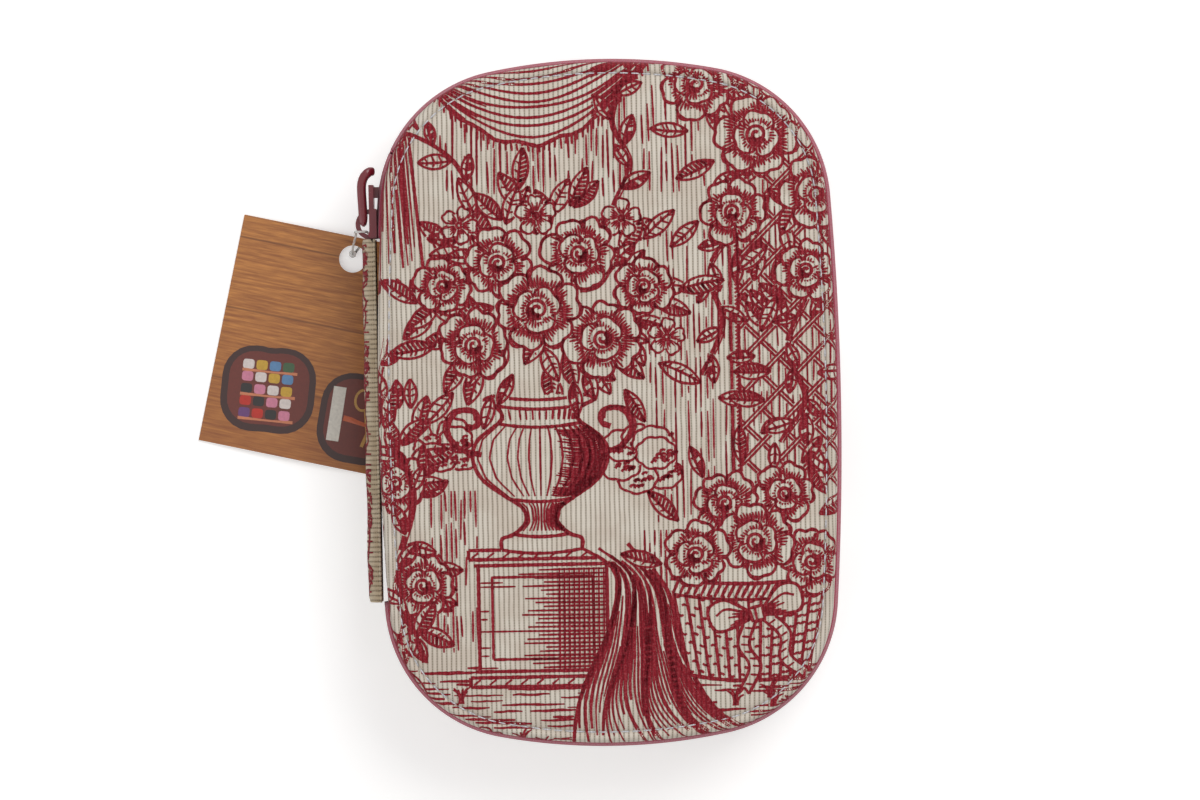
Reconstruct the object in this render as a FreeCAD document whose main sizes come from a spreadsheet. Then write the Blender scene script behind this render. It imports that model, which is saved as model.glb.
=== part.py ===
import FreeCAD, Part
import math
import os
import Sketcher
from FreeCAD import Placement, Rotation, Vector

# Zip-round sewing etui, lying on its back with the lid up.
# Millimetres, Z up, Y along the case, spine on the -X side.
# The origin is the middle of the flat patch that the base rests on.

DIMENSIONS = [
    ("case_width", 108),
    ("case_length", 160),
    ("corner_radius", 32),
    ("side_radius", 700),
    ("end_radius", 137),
    ("base_depth", 13.5),
    ("lid_depth", 12.5),
    ("band_height", 9),
    ("wall_lean", 0.0524),
    ("core_inset", 0.8),
    ("cavity_inset", 2.8),
    ("inside_inset", 3.3),
    ("dome_height", 2.3),
    ("dome_foot", 0.05),
    ("floor_drop", 5.1),
    ("lining_drop", 5.6),
    ("edge_round", 1.8),
    ("floor_round", 3.6),
    ("crease_outer", 2.5),
    ("crease_inner", 3.3),
    ("crease_depth", 0.6),
    ("dome_shoulder", 13),
    ("shoulder_height", 1.6),
    ("dome_patch", 27),
    ("spine_top", 39.5),
    ("spine_bottom", 46.1),
    ("spine_gap", 0.3),
    ("spine_bulge", 2),
    ("spine_lining", 0.5),
    ("spine_cover", 0.8),
    ("tape_root", 0.3),
    ("tape_lean", 0.85),
    ("tape_reach", 3.8),
    ("tape_thick", 0.6),
    ("coil_radius", 0.85),
    ("coil_inset", 0.5),
    ("coil_height", 3.05),
    ("zip_start_end", 59.5),
    ("zip_start_gap", 0.5),
    ("start_bar", 1.5),
    ("slider_length", 12.6),
    ("slider_nose", 4),
    ("slider_margin", 0.3),
    ("slider_waist", 0.9),
    ("plate_outer_inside", 1.85),
    ("plate_outer_outside", 3),
    ("plate_inner_inside", 2.1),
    ("plate_inner_outside", 3),
    ("post_height", 0.9),
    ("post_length", 2.6),
    ("post_root", 0.4),
    ("lip_height", 0.6),
    ("lip_outer", 0.6),
    ("lip_inner", 1.2),
    ("lip_length", 9),
    ("crown_radius", 3.6),
    ("crown_bar", 1.1),
    ("crown_width", 2),
    ("crown_back", 2.9),
    ("crown_root", 0.3),
    ("pin_radius", 0.5),
    ("pin_height", 4.45),
    ("pull_width", 5.4),
    ("pull_thick", 2.3),
    ("pull_window", 4.2),
    ("pull_reach", 9.4),
    ("pull_bend", 3.4),
    ("pull_lean", 0.3),
    ("pull_soft", 0.7),
    ("pull_window_width", 2.6),
    ("filament_radius", 0.3),
    ("strand_near", 3.65),
    ("strand_far", 6.45),
    ("strand_back", 1.75),
    ("strand_slack", 0.7),
    ("strand_bend", 4),
    ("lock_radius", 0.95),
    ("lock_length", 1.9),
    ("lock_shift", 1.2),
    ("tag_width", 48.4),
    ("tag_aside", 3.3),
    ("tag_length", 55),
    ("tag_thick", 0.3),
    ("tag_curl", 1),
    ("tag_hole_radius", 3.25),
    ("tag_hole_drop", 5.3),
    ("tag_hole_x", -60.2),
    ("tag_hole_y", 35.4),
    ("tag_turn", 12.6),
    ("spool_length", 24),
    ("spool_radius", 6.75),
    ("reel_sides", 16),
    ("spool_barrel", 3.2),
    ("spool_rim", 1.3),
    ("thread_radius", 6),
    ("spool_pitch", 15),
    ("spool_row_pitch", 25.5),
    ("spool_row_start", 21),
    ("band_width", 5.6),
    ("band_thick", 0.6),
    ("tube_radius", 3.2),
    ("tube_length", 36),
    ("tube_cap_length", 14),
    ("tube_y", 41),
    ("tube_wall", 0.5),
    ("tube_neck", 4),
    ("pad_width", 24),
    ("pad_length", 15),
    ("pad_thick", 3),
    ("pad_y", 57),
    ("pad_corner", 3),
    ("pad_soft", 1.2),
    ("pin_shank", 0.35),
    ("pin_head", 1.3),
    ("pin_length", 19),
    ("pin_sides", 8),
    ("pin_pitch", 4),
    ("measure_width", 19),
    ("measure_length", 84),
    ("measure_x", -35.4),
    ("measure_y", 4),
    ("measure_layer", 0.62),
    ("measure_gap", 0.14),
    ("measure_layers", 8),
    ("measure_fold", 0.6),
    ("blade_thick", 1.5),
    ("blade_gap", 0.1),
    ("pivot_x", 4.5),
    ("pivot_y", 4),
    ("loop_x", 14.5),
    ("loop_y", 25.3),
    ("loop_half_width", 12.6),
    ("loop_half_length", 15.6),
    ("loop_corner", 10.5),
    ("loop_side", 34),
    ("loop_end", 14.5),
    ("loop_bar", 2.5),
    ("loop_thick", 2.4),
    ("screw_radius", 1.2),
    ("screw_head_radius", 2.2),
    ("screw_head", 0.7),
    ("screw_slot", 0.4),
    ("band_y", 2),
    ("band_arch_left", 11),
    ("band_arch_right", 14),
    ("band_left_end", 22),
    ("band_right_end", 45),
    ("button_radius", 5.2),
    ("button_thick", 1.4),
    ("button_dish", 0.5),
    ("button_rim", 0.6),
    ("button_eye", 0.6),
    ("button_eye_place", 1.3),
    ("button_x", -14),
    ("button_y", -11.5),
    ("button_pitch", 11.2),
    ("chalk_width", 7),
    ("chalk_length", 15),
    ("chalk_thick", 4),
    ("chalk_x", 18.6),
    ("chalk_y", 55.5),
    ("chalk_round", 0.8),
    ("threader_width", 10),
    ("threader_length", 8),
    ("threader_thick", 0.5),
    ("threader_x", 4.5),
    ("threader_y", 55),
    ("threader_wire", 0.4),
    ("threader_loop", 13),
]

os.makedirs("parts", exist_ok=True)
doc = FreeCAD.newDocument("SewingEtui")
sheet = doc.addObject("Spreadsheet::Sheet", "Sizes")
for row, (alias, number) in enumerate(DIMENSIONS, start=1):
    sheet.set("A%d" % row, alias)
    sheet.set("B%d" % row, str(number))
    sheet.setAlias("B%d" % row, alias)
doc.recompute()
numbers = dict(DIMENSIONS)
nodes = []


class Size:
    """A length worked out from the sheet: its number now, and the expression that keeps it bound."""

    def __init__(self, value, text):
        self.value = float(value)
        self.text = text

    def __add__(self, other):
        other = as_size(other)
        return Size(self.value + other.value, "(%s + %s)" % (self.text, other.text))

    def __sub__(self, other):
        other = as_size(other)
        return Size(self.value - other.value, "(%s - %s)" % (self.text, other.text))

    def __mul__(self, other):
        other = as_size(other)
        return Size(self.value * other.value, "(%s * %s)" % (self.text, other.text))

    def __truediv__(self, other):
        other = as_size(other)
        return Size(self.value / other.value, "(%s / %s)" % (self.text, other.text))

    def __neg__(self):
        return Size(-self.value, "(0 - %s)" % self.text)


def as_size(number):
    return number if isinstance(number, Size) else Size(number, repr(float(number)))


def size(alias):
    return Size(numbers[alias], "Sizes.%s" % alias)


def root(length):
    return Size(math.sqrt(length.value), "sqrt(%s)" % length.text)


def bind(item, name, length):
    """Set a property from the sheet and keep it bound."""
    length = as_size(length)
    item.setExpression(name, length.text)


def side_x(y):
    """How far the case's long side stands from the middle plane at a given y."""
    swing = size("side_radius")
    return size("case_width") / 2 - swing + root(swing * swing - y * y)


def new_body(name):
    body = doc.addObject("PartDesign::Body", name)
    body.Label = name
    return body


def keep(item, name):
    """Make an object a node of the etui under its own name."""
    item.Label = name
    nodes.append(item)
    return item


def sketch_on(body, name, role, height=0.0, across=0.0, along=0.0):
    """A sketch on one of the body's own origin planes, moved by three bound distances."""
    sketch = body.newObject("Sketcher::SketchObject", name)
    plane = [item for item in body.Origin.OriginFeatures if item.Role == role][0]
    sketch.AttachmentSupport = (plane, "")
    sketch.MapMode = "FlatFace"
    bind(sketch, ".AttachmentOffset.Base.x", across)
    bind(sketch, ".AttachmentOffset.Base.y", along)
    bind(sketch, ".AttachmentOffset.Base.z", height)
    return sketch


def hold(sketch, kind, places, length):
    """Add a dimension to a sketch and bind it."""
    length = as_size(length)
    index = sketch.addConstraint(Sketcher.Constraint(kind, *places, length.value))
    sketch.setExpression("Constraints[%d]" % index, length.text)


def polygon(sketch, corners):
    """A closed run of straight lines whose corners are each held by two distances."""
    corners = [(as_size(x), as_size(y)) for x, y in corners]
    first = sketch.GeometryCount
    count = len(corners)
    for index, (x, y) in enumerate(corners):
        next_x, next_y = corners[(index + 1) % count]
        line = Part.LineSegment(Vector(x.value, y.value, 0), Vector(next_x.value, next_y.value, 0))
        sketch.addGeometry(line, False)
    for index in range(count):
        after = first + (index + 1) % count
        sketch.addConstraint(Sketcher.Constraint("Coincident", first + index, 2, after, 1))
    for index, (x, y) in enumerate(corners):
        place(sketch, first + index, 1, x, y)


def place(sketch, item, point, x, y):
    """Hold one point of a sketch at two distances from the sketch's origin."""
    for kind, axis, length in (("DistanceX", -2, as_size(x)), ("DistanceY", -1, as_size(y))):
        if abs(length.value) < 1e-9:
            sketch.addConstraint(Sketcher.Constraint("PointOnObject", item, point, axis))
        else:
            hold(sketch, kind, (-1, 1, item, point), length)


def circle(sketch, x, y, radius):
    x, y, radius = as_size(x), as_size(y), as_size(radius)
    item = sketch.addGeometry(Part.Circle(Vector(x.value, y.value, 0), Vector(0, 0, 1), radius.value))
    hold(sketch, "Radius", (item,), radius)
    place(sketch, item, 3, x, y)


def corner_arc(half_width, half_length, corner, side, end):
    """Centre of the corner arc that touches both the long side arc and the short end arc."""
    back = side - half_width
    down = end - half_length
    reach_side = side - corner
    reach_end = end - corner
    span = root(back * back + down * down)
    along = (reach_side * reach_side - reach_end * reach_end + span * span) / (span * 2)
    rise = root(reach_side * reach_side - along * along)
    return (back * along + down * rise) / span - back, (back * rise - down * along) / span


case_height = size("base_depth") + size("band_height") + size("lid_depth")
lid_rim = size("base_depth") + size("band_height")
zip_middle = size("base_depth") + size("band_height") / 2
corner_x, corner_y = corner_arc(
    size("case_width") / 2,
    size("case_length") / 2,
    size("corner_radius"),
    size("side_radius"),
    size("end_radius"),
)
zip_wall = corner_x + size("corner_radius")


def outline(sketch, half_width, half_length, corner, side, end):
    """The case's bowed, round-cornered outline: eight arcs, each tangent to the next."""
    lengths = [as_size(item) for item in (half_width, half_length, corner, side, end)]
    wide, tall, turn, flank, cap = [item.value for item in lengths]
    centre = Vector(*[item.value for item in corner_arc(*lengths)], 0)
    low = math.atan2(centre.y, centre.x - (wide - flank))
    high = math.atan2(centre.y - (tall - cap), centre.x)
    right = math.pi
    arcs = [
        (wide - flank, 0, flank, -low, low),
        (centre.x, centre.y, turn, low, high),
        (0, tall - cap, cap, high, right - high),
        (-centre.x, centre.y, turn, right - high, right - low),
        (flank - wide, 0, flank, right - low, right + low),
        (-centre.x, -centre.y, turn, right + low, right + high),
        (0, cap - tall, cap, right + high, 2 * right - high),
        (centre.x, -centre.y, turn, 2 * right - high, 2 * right - low),
    ]
    first = sketch.GeometryCount
    for x, y, radius, start, stop in arcs:
        ring = Part.Circle(Vector(x, y, 0), Vector(0, 0, 1), radius)
        sketch.addGeometry(Part.ArcOfCircle(ring, start, stop), False)
    for index in range(8):
        after = first + (index + 1) % 8
        sketch.addConstraint(Sketcher.Constraint("Tangent", first + index, 2, after, 1))
    for index in (3, 5, 7):
        sketch.addConstraint(Sketcher.Constraint("Equal", first + 1, first + index))
    for index in (0, 2):
        sketch.addConstraint(Sketcher.Constraint("Equal", first + index, first + index + 4))
    for index, axis in ((0, -1), (4, -1), (2, -2), (6, -2)):
        sketch.addConstraint(Sketcher.Constraint("PointOnObject", first + index, 3, axis))
    half_width, half_length, corner, side, end = lengths
    hold(sketch, "Radius", (first + 1,), corner)
    hold(sketch, "Radius", (first,), side)
    hold(sketch, "Radius", (first + 2,), end)
    hold(sketch, "DistanceX", (first, 3, -1, 1), side - half_width)
    hold(sketch, "DistanceX", (-1, 1, first + 4, 3), side - half_width)
    hold(sketch, "DistanceY", (first + 2, 3, -1, 1), end - half_length)
    hold(sketch, "DistanceY", (-1, 1, first + 6, 3), end - half_length)


def case_outline(sketch, inset):
    """The case's outline at a bound distance inside its rim."""
    outline(
        sketch,
        size("case_width") / 2 - inset,
        size("case_length") / 2 - inset,
        size("corner_radius") - inset,
        size("side_radius") - inset,
        size("end_radius") - inset,
    )


def pad(body, sketch, length, reverse=False, both=False):
    item = body.newObject("PartDesign::Pad", sketch.Name + "Pad")
    item.Profile = sketch
    item.Reversed = reverse
    item.Midplane = both
    bind(item, "Length", length)
    return item


def pocket(body, sketch, length, reverse=False, both=False):
    item = body.newObject("PartDesign::Pocket", sketch.Name + "Pocket")
    item.Profile = sketch
    item.Reversed = reverse
    item.Midplane = both
    bind(item, "Length", length)
    return item


def round_edges(body, feature, names, radius):
    item = body.newObject("PartDesign::Fillet", feature.Name + "Round")
    item.Base = (feature, names)
    bind(item, "Radius", radius)
    return item


def bevel_edges(body, feature, names, width):
    item = body.newObject("PartDesign::Chamfer", feature.Name + "Bevel")
    item.Base = (feature, names)
    bind(item, "Size", width)
    return item


def edges_where(feature, test):
    """Names of the edges that pass a test; the shape is made first."""
    doc.recompute()
    return ["Edge%d" % (index + 1) for index, edge in enumerate(feature.Shape.Edges) if test(edge)]


def flat_at(height):
    """Test for an edge that lies level at a height."""
    level = as_size(height).value

    def test(edge):
        box = edge.BoundBox
        return abs(box.ZMin - level) < 1e-4 and abs(box.ZMax - level) < 1e-4

    return test


def along_axis(index):
    """Test for a straight edge along X, Y or Z."""

    def test(edge):
        if not isinstance(edge.Curve, Part.Line):
            return False
        return abs(abs(edge.Curve.Direction[index]) - 1) < 1e-6

    return test


def boolean(kind, name, base, tool):
    item = doc.addObject("Part::" + kind, name)
    item.Base = base
    item.Tool = tool
    return item


def compound(name, links):
    item = doc.addObject("Part::Compound", name)
    item.Links = links
    return item


# Case halves

def level(is_lid, drop):
    """Height of a level that lies a given drop inside the outer face of the base or of the lid."""
    return case_height - drop if is_lid else as_size(drop)


def tub(name, is_lid, inset, drop, turn, turn_steps, dome_steps):
    """Solid block of one half's form, inside a given skin; nested blocks make the layers.

    Outlines are stacked from the rim up the leaning wall, round the turned edge and over the dome.
    """
    body = new_body(name)
    depth = size("lid_depth") if is_lid else size("base_depth")
    wall_top = inset + (depth - drop - turn) * size("wall_lean")
    stack = [(inset, depth), (wall_top, drop + turn)]
    for step in range(1, turn_steps + 1):
        angle = math.pi / 2 * step / turn_steps
        stack.append((wall_top + turn * (1 - math.cos(angle)), drop + turn * (1 - math.sin(angle))))
    foot = [(size("crease_inner"), drop - size("dome_foot"))] if dome_steps else []
    shoulder = [(size("dome_shoulder"), drop - size("shoulder_height"))] if dome_steps == 2 else []
    patch = [(size("dome_patch"), drop - size("dome_height"))] if dome_steps else []
    sections = []
    for step, (reach, fall) in enumerate(stack + foot + shoulder + patch):
        sections.append(sketch_on(body, "%sRing%d" % (name, step), "XY_Plane", level(is_lid, fall)))
        case_outline(sections[-1], reach)
    loft = body.newObject("PartDesign::AdditiveLoft", name + "Loft")
    loft.Profile = sections[0]
    loft.Sections = sections[1:]
    loft.Ruled = True
    return body


def add_crease(body, is_lid, drop):
    """The stitched groove between the rolled edge and the dome."""
    ring = sketch_on(body, body.Name + "Crease", "XY_Plane", level(is_lid, drop - size("dome_foot")))
    case_outline(ring, size("crease_outer"))
    case_outline(ring, size("crease_inner"))
    pocket(body, ring, size("crease_depth"), reverse=not is_lid)


def case_half(side, is_lid):
    """Printed cover, foam core and lining of one half, each the gap between two nested blocks."""
    skin = size("core_inset")
    dome = size("dome_height")
    edge = size("edge_round")
    floor_edge = size("floor_round")
    blocks = [
        tub(side + "Skin", is_lid, as_size(0), dome, edge, 1, 2),
        tub(side + "Foam", is_lid, skin, dome + skin, edge, 1, 1),
        tub(side + "Well", is_lid, size("cavity_inset"), size("floor_drop"), floor_edge, 1, 0),
        tub(side + "Room", is_lid, size("inside_inset"), size("lining_drop"), floor_edge, 1, 0),
    ]
    add_crease(blocks[0], is_lid, dome)
    for index, layer in enumerate(("cover", "core", "lining")):
        node = "%s_%s" % (side, layer)
        keep(boolean("Cut", node, blocks[index], blocks[index + 1]), node)


case_half("base", False)
case_half("lid", True)


# Spine: a lined strip of the cover's fabric, bowed outwards between the two rims

def bowed_strip(node, inside, thickness):
    body = new_body(node)
    middle = (size("spine_top") - size("spine_bottom")) / 2
    sketch = sketch_on(body, node + "Bow", "XZ_Plane", -middle)
    low = size("base_depth") + size("spine_gap")
    high = lid_rim - size("spine_gap")
    half = (high - low) / 2
    bulge = size("spine_bulge")
    swing = (half * half + bulge * bulge) / (bulge * 2)
    edge = -(size("case_width") / 2) - inside
    runs = []
    for shift in (as_size(0), thickness):
        peak = edge - bulge - shift
        ends = (edge - shift, peak, edge - shift)
        levels = (high, zip_middle, low)
        points = [Vector(x.value, z.value, 0) for x, z in zip(ends, levels)]
        runs.append(sketch.addGeometry(Part.Arc(*points), False))
    inner, outer = runs
    far = edge - thickness
    for z in (low, high):
        line = Part.LineSegment(Vector(edge.value, z.value, 0), Vector(far.value, z.value, 0))
        item = sketch.addGeometry(line, False)
        for run, point in ((inner, 1), (outer, 2)):
            end = arc_end(sketch, run, z)
            sketch.addConstraint(Sketcher.Constraint("Coincident", item, point, run, end))
        place(sketch, item, 1, edge, z)
        place(sketch, item, 2, far, z)
    hold(sketch, "Radius", (inner,), swing)
    hold(sketch, "Radius", (outer,), swing)
    pad(body, sketch, size("spine_top") + size("spine_bottom"), both=True)
    return keep(body, node)


def arc_end(sketch, arc, height):
    """Which end of an arc, 1 for its start or 2 for its end, lies at a height."""
    start = sketch.Geometry[arc].StartPoint
    return 1 if abs(start.y - height.value) < 1e-6 else 2


bowed_strip("spine_lining", as_size(0), size("spine_lining"))
bowed_strip("spine_cover", size("spine_lining"), size("spine_cover"))


# Zip: two woven tapes and two coils, swept round the three open sides

def zip_route(body, name):
    """The rim outline from the spine's top end clockwise round to its bottom end."""
    sketch = sketch_on(body, name, "XY_Plane")
    case_outline(sketch, as_size(0))
    sketch.toggleConstruction(4)
    flank = sketch.Geometry[4]
    for index, point, y in ((0, 1, size("spine_top")), (1, 2, -size("spine_bottom"))):
        start = flank.StartPoint if index == 0 else Vector(-side_x(y).value, y.value, 0)
        stop = Vector(-side_x(y).value, y.value, 0) if index == 0 else flank.EndPoint
        sides = sketch.Geometry[4].Circle
        first = math.atan2(start.y - sides.Center.y, start.x - sides.Center.x) % (2 * math.pi)
        last = math.atan2(stop.y - sides.Center.y, stop.x - sides.Center.x) % (2 * math.pi)
        item = sketch.addGeometry(Part.ArcOfCircle(sides, first, last), False)
        neighbour = (3, 2) if index == 0 else (5, 1)
        sketch.addConstraint(Sketcher.Constraint("Coincident", item, 1 + index, *neighbour))
        sketch.addConstraint(Sketcher.Constraint("Coincident", item, 3, 4, 3))
        hold(sketch, "DistanceY", (-1, 1, item, 2 - index), y)
    return sketch


def zip_sweep(name, draw):
    """A profile drawn at the route's start and swept round the case."""
    body = new_body(name)
    route = zip_route(body, name + "Route")
    profile = sketch_on(body, name + "Profile", "XZ_Plane", -size("spine_top"))
    draw(profile, -side_x(size("spine_top")))
    pipe = body.newObject("PartDesign::AdditivePipe", name + "Sweep")
    pipe.Profile = profile
    doc.recompute()
    pipe.Spine = (route, ["Edge%d" % (index + 1) for index in range(len(route.Shape.Edges))])
    return body


def zip_level(is_upper, rise):
    """Height at a rise from the rim towards the middle of the zip band."""
    return lid_rim - rise if is_upper else size("base_depth") + rise


def tape_profile(is_upper):
    def draw(sketch, wall):
        foot = zip_level(is_upper, as_size(0))
        edge = zip_level(is_upper, size("tape_reach"))
        inner = wall + size("tape_root")
        polygon(sketch, [
            (inner, foot),
            (inner - size("tape_thick"), foot),
            (inner - size("tape_thick") - size("tape_lean"), edge),
            (inner - size("tape_lean"), edge),
        ])
    return draw


def coil_profile(is_upper):
    def draw(sketch, wall):
        across = wall + size("coil_inset")
        middle = zip_level(is_upper, size("coil_height"))
        bead = size("coil_radius")
        polygon(sketch, [
            (across - bead, middle),
            (across, middle - bead),
            (across + bead, middle),
            (across, middle + bead),
        ])
    return draw


keep(zip_sweep("base_zip_tape", tape_profile(False)), "base_zip_tape")
keep(zip_sweep("base_zip_coil", coil_profile(False)), "base_zip_coil")
upper_tape = zip_sweep("UpperTape", tape_profile(True))
upper_coil = zip_sweep("UpperCoil", coil_profile(True))


def block(name, low, high):
    """A plain block between two corners."""
    item = doc.addObject("Part::Box", name)
    for side, start, stop in zip(("Length", "Width", "Height"), low, high):
        bind(item, side, as_size(stop) - start)
    for axis, start in zip("xyz", low):
        bind(item, ".Placement.Base." + axis, start)
    return item


def start_zone(name, reach):
    """Block round the zip's start, where the upper tape stays sewn to the lower one."""
    low = (-size("case_width"), as_size(0), as_size(0))
    return block(name, low, (-corner_x - size("corner_radius") / 2, reach, case_height))


start_part = start_zone("StartPart", size("zip_start_end"))
start_room = start_zone("StartRoom", size("zip_start_end") + size("zip_start_gap"))
start_wall = -side_x(size("spine_top")) + size("tape_root") - size("tape_lean")
start_bar = block(
    "StartBar",
    (start_wall - size("tape_thick"), size("spine_top"), zip_level(False, size("tape_reach"))),
    (start_wall, size("spine_top") + size("start_bar"), zip_level(True, size("tape_reach"))),
)
start_band = boolean("Common", "StartBand", upper_tape, start_part)
keep(boolean("Fuse", "zip_start", start_band, start_bar), "zip_start")
keep(boolean("Cut", "lid_zip_tape", upper_tape, start_room), "lid_zip_tape")
keep(boolean("Cut", "lid_zip_coil", upper_coil, start_room), "lid_zip_coil")


# Slider: two plates and the post between them, lips over the tapes, and the crown for the pull

def out_from_wall(reach):
    """Place outside the case's wall where the slider is parked."""
    return -zip_wall - reach


def slider_plate(body, name, near, far):
    """One plate, waisted behind its wide nose, with its corners rounded."""
    half = size("slider_length") / 2
    low = size("base_depth") + size("slider_margin")
    high = lid_rim - size("slider_margin")
    waist = size("slider_waist")
    shoulder = corner_y + half - size("slider_nose")
    neck = shoulder - waist * 2
    sketch = sketch_on(body, name, "YZ_Plane", out_from_wall(near))
    polygon(sketch, [
        (corner_y - half, low + waist),
        (neck, low + waist),
        (shoulder, low),
        (corner_y + half, low),
        (corner_y + half, high),
        (shoulder, high),
        (neck, high - waist),
        (corner_y - half, high - waist),
    ])
    plate = pad(body, sketch, far - near, reverse=True)
    return plate


slider = new_body("SliderBlock")
slider_plate(slider, "OuterPlate", size("plate_outer_inside"), size("plate_outer_outside"))
slider_plate(slider, "InnerPlate", -size("plate_inner_outside"), -size("plate_inner_inside"))
post = sketch_on(slider, "Post", "XY_Plane", zip_middle - size("post_height") / 2)
post_front = corner_y + size("slider_length") / 2 - size("post_root")
post_outside = out_from_wall(size("plate_outer_outside") - size("post_root"))
post_inside = out_from_wall(size("post_root") - size("plate_inner_outside"))
polygon(post, [
    (post_outside, post_front),
    (post_outside, post_front - size("post_length")),
    (post_inside, post_front - size("post_length")),
    (post_inside, post_front),
])
pad(slider, post, size("post_height"))


def slider_lips(is_upper):
    """The turned-in edges of both plates that keep one tape in its channel."""
    edge = lid_rim - size("slider_margin") if is_upper else size("base_depth") + size("slider_margin")
    edge = edge - size("slider_waist") if is_upper else edge + size("slider_waist")
    inward = edge - size("lip_height") if is_upper else edge + size("lip_height")
    back = size("slider_length") / 2
    sketch = sketch_on(slider, "UpperLips" if is_upper else "LowerLips", "XZ_Plane", back - corner_y)
    spans = (
        (size("plate_outer_inside") + 0.2, size("plate_outer_inside") - size("lip_outer")),
        (-size("plate_inner_inside") - 0.2, size("lip_inner") - size("plate_inner_inside")),
    )
    for start, stop in spans:
        polygon(sketch, [
            (out_from_wall(start), edge),
            (out_from_wall(stop), edge),
            (out_from_wall(stop), inward),
            (out_from_wall(start), inward),
        ])
    return pad(slider, sketch, size("lip_length") - size("slider_nose") / 2, reverse=True)


slider_lips(False)
slider_lips(True)


def half_ring(sketch, x, y, outer, inner):
    """Half a ring that opens towards +X: the arch of the crown seen from above."""
    ends = []
    for radius in (outer, inner):
        ring = Part.Circle(Vector(x.value, y.value, 0), Vector(0, 0, 1), radius.value)
        arc = sketch.addGeometry(Part.ArcOfCircle(ring, math.pi / 2, math.pi * 1.5), False)
        ends.append(arc)
    sketch.addConstraint(Sketcher.Constraint("Coincident", ends[0], 3, ends[1], 3))
    place(sketch, ends[0], 3, x, y)
    for point, sign in ((1, 1), (2, -1)):
        start = Vector(x.value, y.value + sign * outer.value, 0)
        stop = Vector(x.value, y.value + sign * inner.value, 0)
        line = sketch.addGeometry(Part.LineSegment(start, stop), False)
        sketch.addConstraint(Sketcher.Constraint("Coincident", line, 1, ends[0], point))
        sketch.addConstraint(Sketcher.Constraint("Coincident", line, 2, ends[1], point))
        sketch.addConstraint(Sketcher.Constraint("PointOnObject", ends[0], 3, line))
        sketch.addConstraint(Sketcher.Constraint("Vertical", line))
    hold(sketch, "Radius", (ends[0],), outer)
    hold(sketch, "Radius", (ends[1],), inner)


crown_x = out_from_wall(size("plate_outer_outside") - size("crown_root"))
crown_y = corner_y - size("crown_back")
crown = sketch_on(slider, "Crown", "XY_Plane", zip_middle)
half_ring(crown, crown_x, crown_y, size("crown_radius"), size("crown_radius") - size("crown_bar"))
pad(slider, crown, size("crown_width"), both=True)
keep(slider, "slider_body")


# Pull: a C-shaped tab whose two lugs carry a pin through the crown

pin_x = out_from_wall(size("pin_height"))
pull = new_body("PullTab")
pull_low = zip_middle - size("pull_width") / 2
tab = sketch_on(pull, "PullTabPlan", "XY_Plane", pull_low)


def pull_plan(sketch):
    """The tab seen from above: out of the crown, along the wall, and round towards it again."""
    half = size("pull_thick") / 2
    bend = size("pull_bend")
    reach = size("pull_reach")
    lean = size("pull_lean")
    inner_x = pin_x + half
    outer_x = pin_x - half
    turn_y = crown_y + reach
    polygon(sketch, [
        (inner_x, crown_y - half),
        (outer_x, crown_y - half),
        (outer_x - lean, turn_y),
        (outer_x - lean + bend * 0.35, turn_y + bend * 0.8),
        (outer_x - lean + bend * 0.95, turn_y + bend * 1.25),
        (outer_x - lean + bend * 1.45, turn_y + bend * 1.3),
        (outer_x - lean + bend * 1.45, turn_y + bend * 1.3 - size("pull_thick")),
        (outer_x - lean + bend * 1.15, turn_y + bend * 1.2 - size("pull_thick")),
        (outer_x - lean + bend * 0.85, turn_y + bend * 0.9 - size("pull_thick") * 0.8),
        (inner_x - lean, turn_y - half * 0.2),
    ])


pull_plan(tab)
tab_block = pad(pull, tab, size("pull_width"))
round_edges(pull, tab_block, edges_where(tab_block, along_axis(2)), size("pull_soft"))
window = sketch_on(pull, "PullWindow", "YZ_Plane", pin_x)
polygon(window, [
    (crown_y - size("pull_thick"), zip_middle - size("pull_window_width") / 2),
    (crown_y + size("pull_window"), zip_middle - size("pull_window_width") / 2),
    (crown_y + size("pull_window"), zip_middle + size("pull_window_width") / 2),
    (crown_y - size("pull_thick"), zip_middle + size("pull_window_width") / 2),
])
pocket(pull, window, size("pull_thick") * 2, both=True)
pin = sketch_on(pull, "PullPin", "XY_Plane", zip_middle)
circle(pin, pin_x, crown_y, size("pin_radius"))
pad(pull, pin, size("pull_width") - size("pin_radius"), both=True)
keep(pull, "slider_pull")


# Tag fastener: a thin nylon loop through the crown and the tag's hole, closed by a locking head

def rounded_route(corners, radii):
    """Straight runs joined by tangent arcs."""
    edges = []
    last = corners[0]
    for index in range(1, len(corners) - 1):
        before = (corners[index - 1] - corners[index]).normalize()
        after = (corners[index + 1] - corners[index]).normalize()
        turn = math.pi - before.getAngle(after)
        cut = radii[index - 1] * math.tan(turn / 2)
        start = corners[index] + before * cut
        stop = corners[index] + after * cut
        middle_way = (before + after).normalize()
        centre_gap = radii[index - 1] / math.cos(turn / 2)
        peak = corners[index] + middle_way * (centre_gap - radii[index - 1])
        edges.append(Part.LineSegment(last, start).toShape())
        edges.append(Part.Arc(start, peak, stop).toShape())
        last = stop
    edges.append(Part.LineSegment(last, corners[-1]).toShape())
    return Part.Wire(edges)


def round_tube(route, radius):
    """A six-sided thread along a route."""
    first = route.Edges[0]
    start = first.valueAt(first.FirstParameter)
    turn = Rotation(Vector(0, 0, 1), first.tangentAt(first.FirstParameter))
    corners = []
    for step in range(7):
        angle = math.pi / 3 * step
        corners.append(start + turn.multVec(Vector(math.cos(angle), math.sin(angle), 0)) * radius)
    return route.makePipeShell([Part.makePolygon(corners)], True, False)


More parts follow.
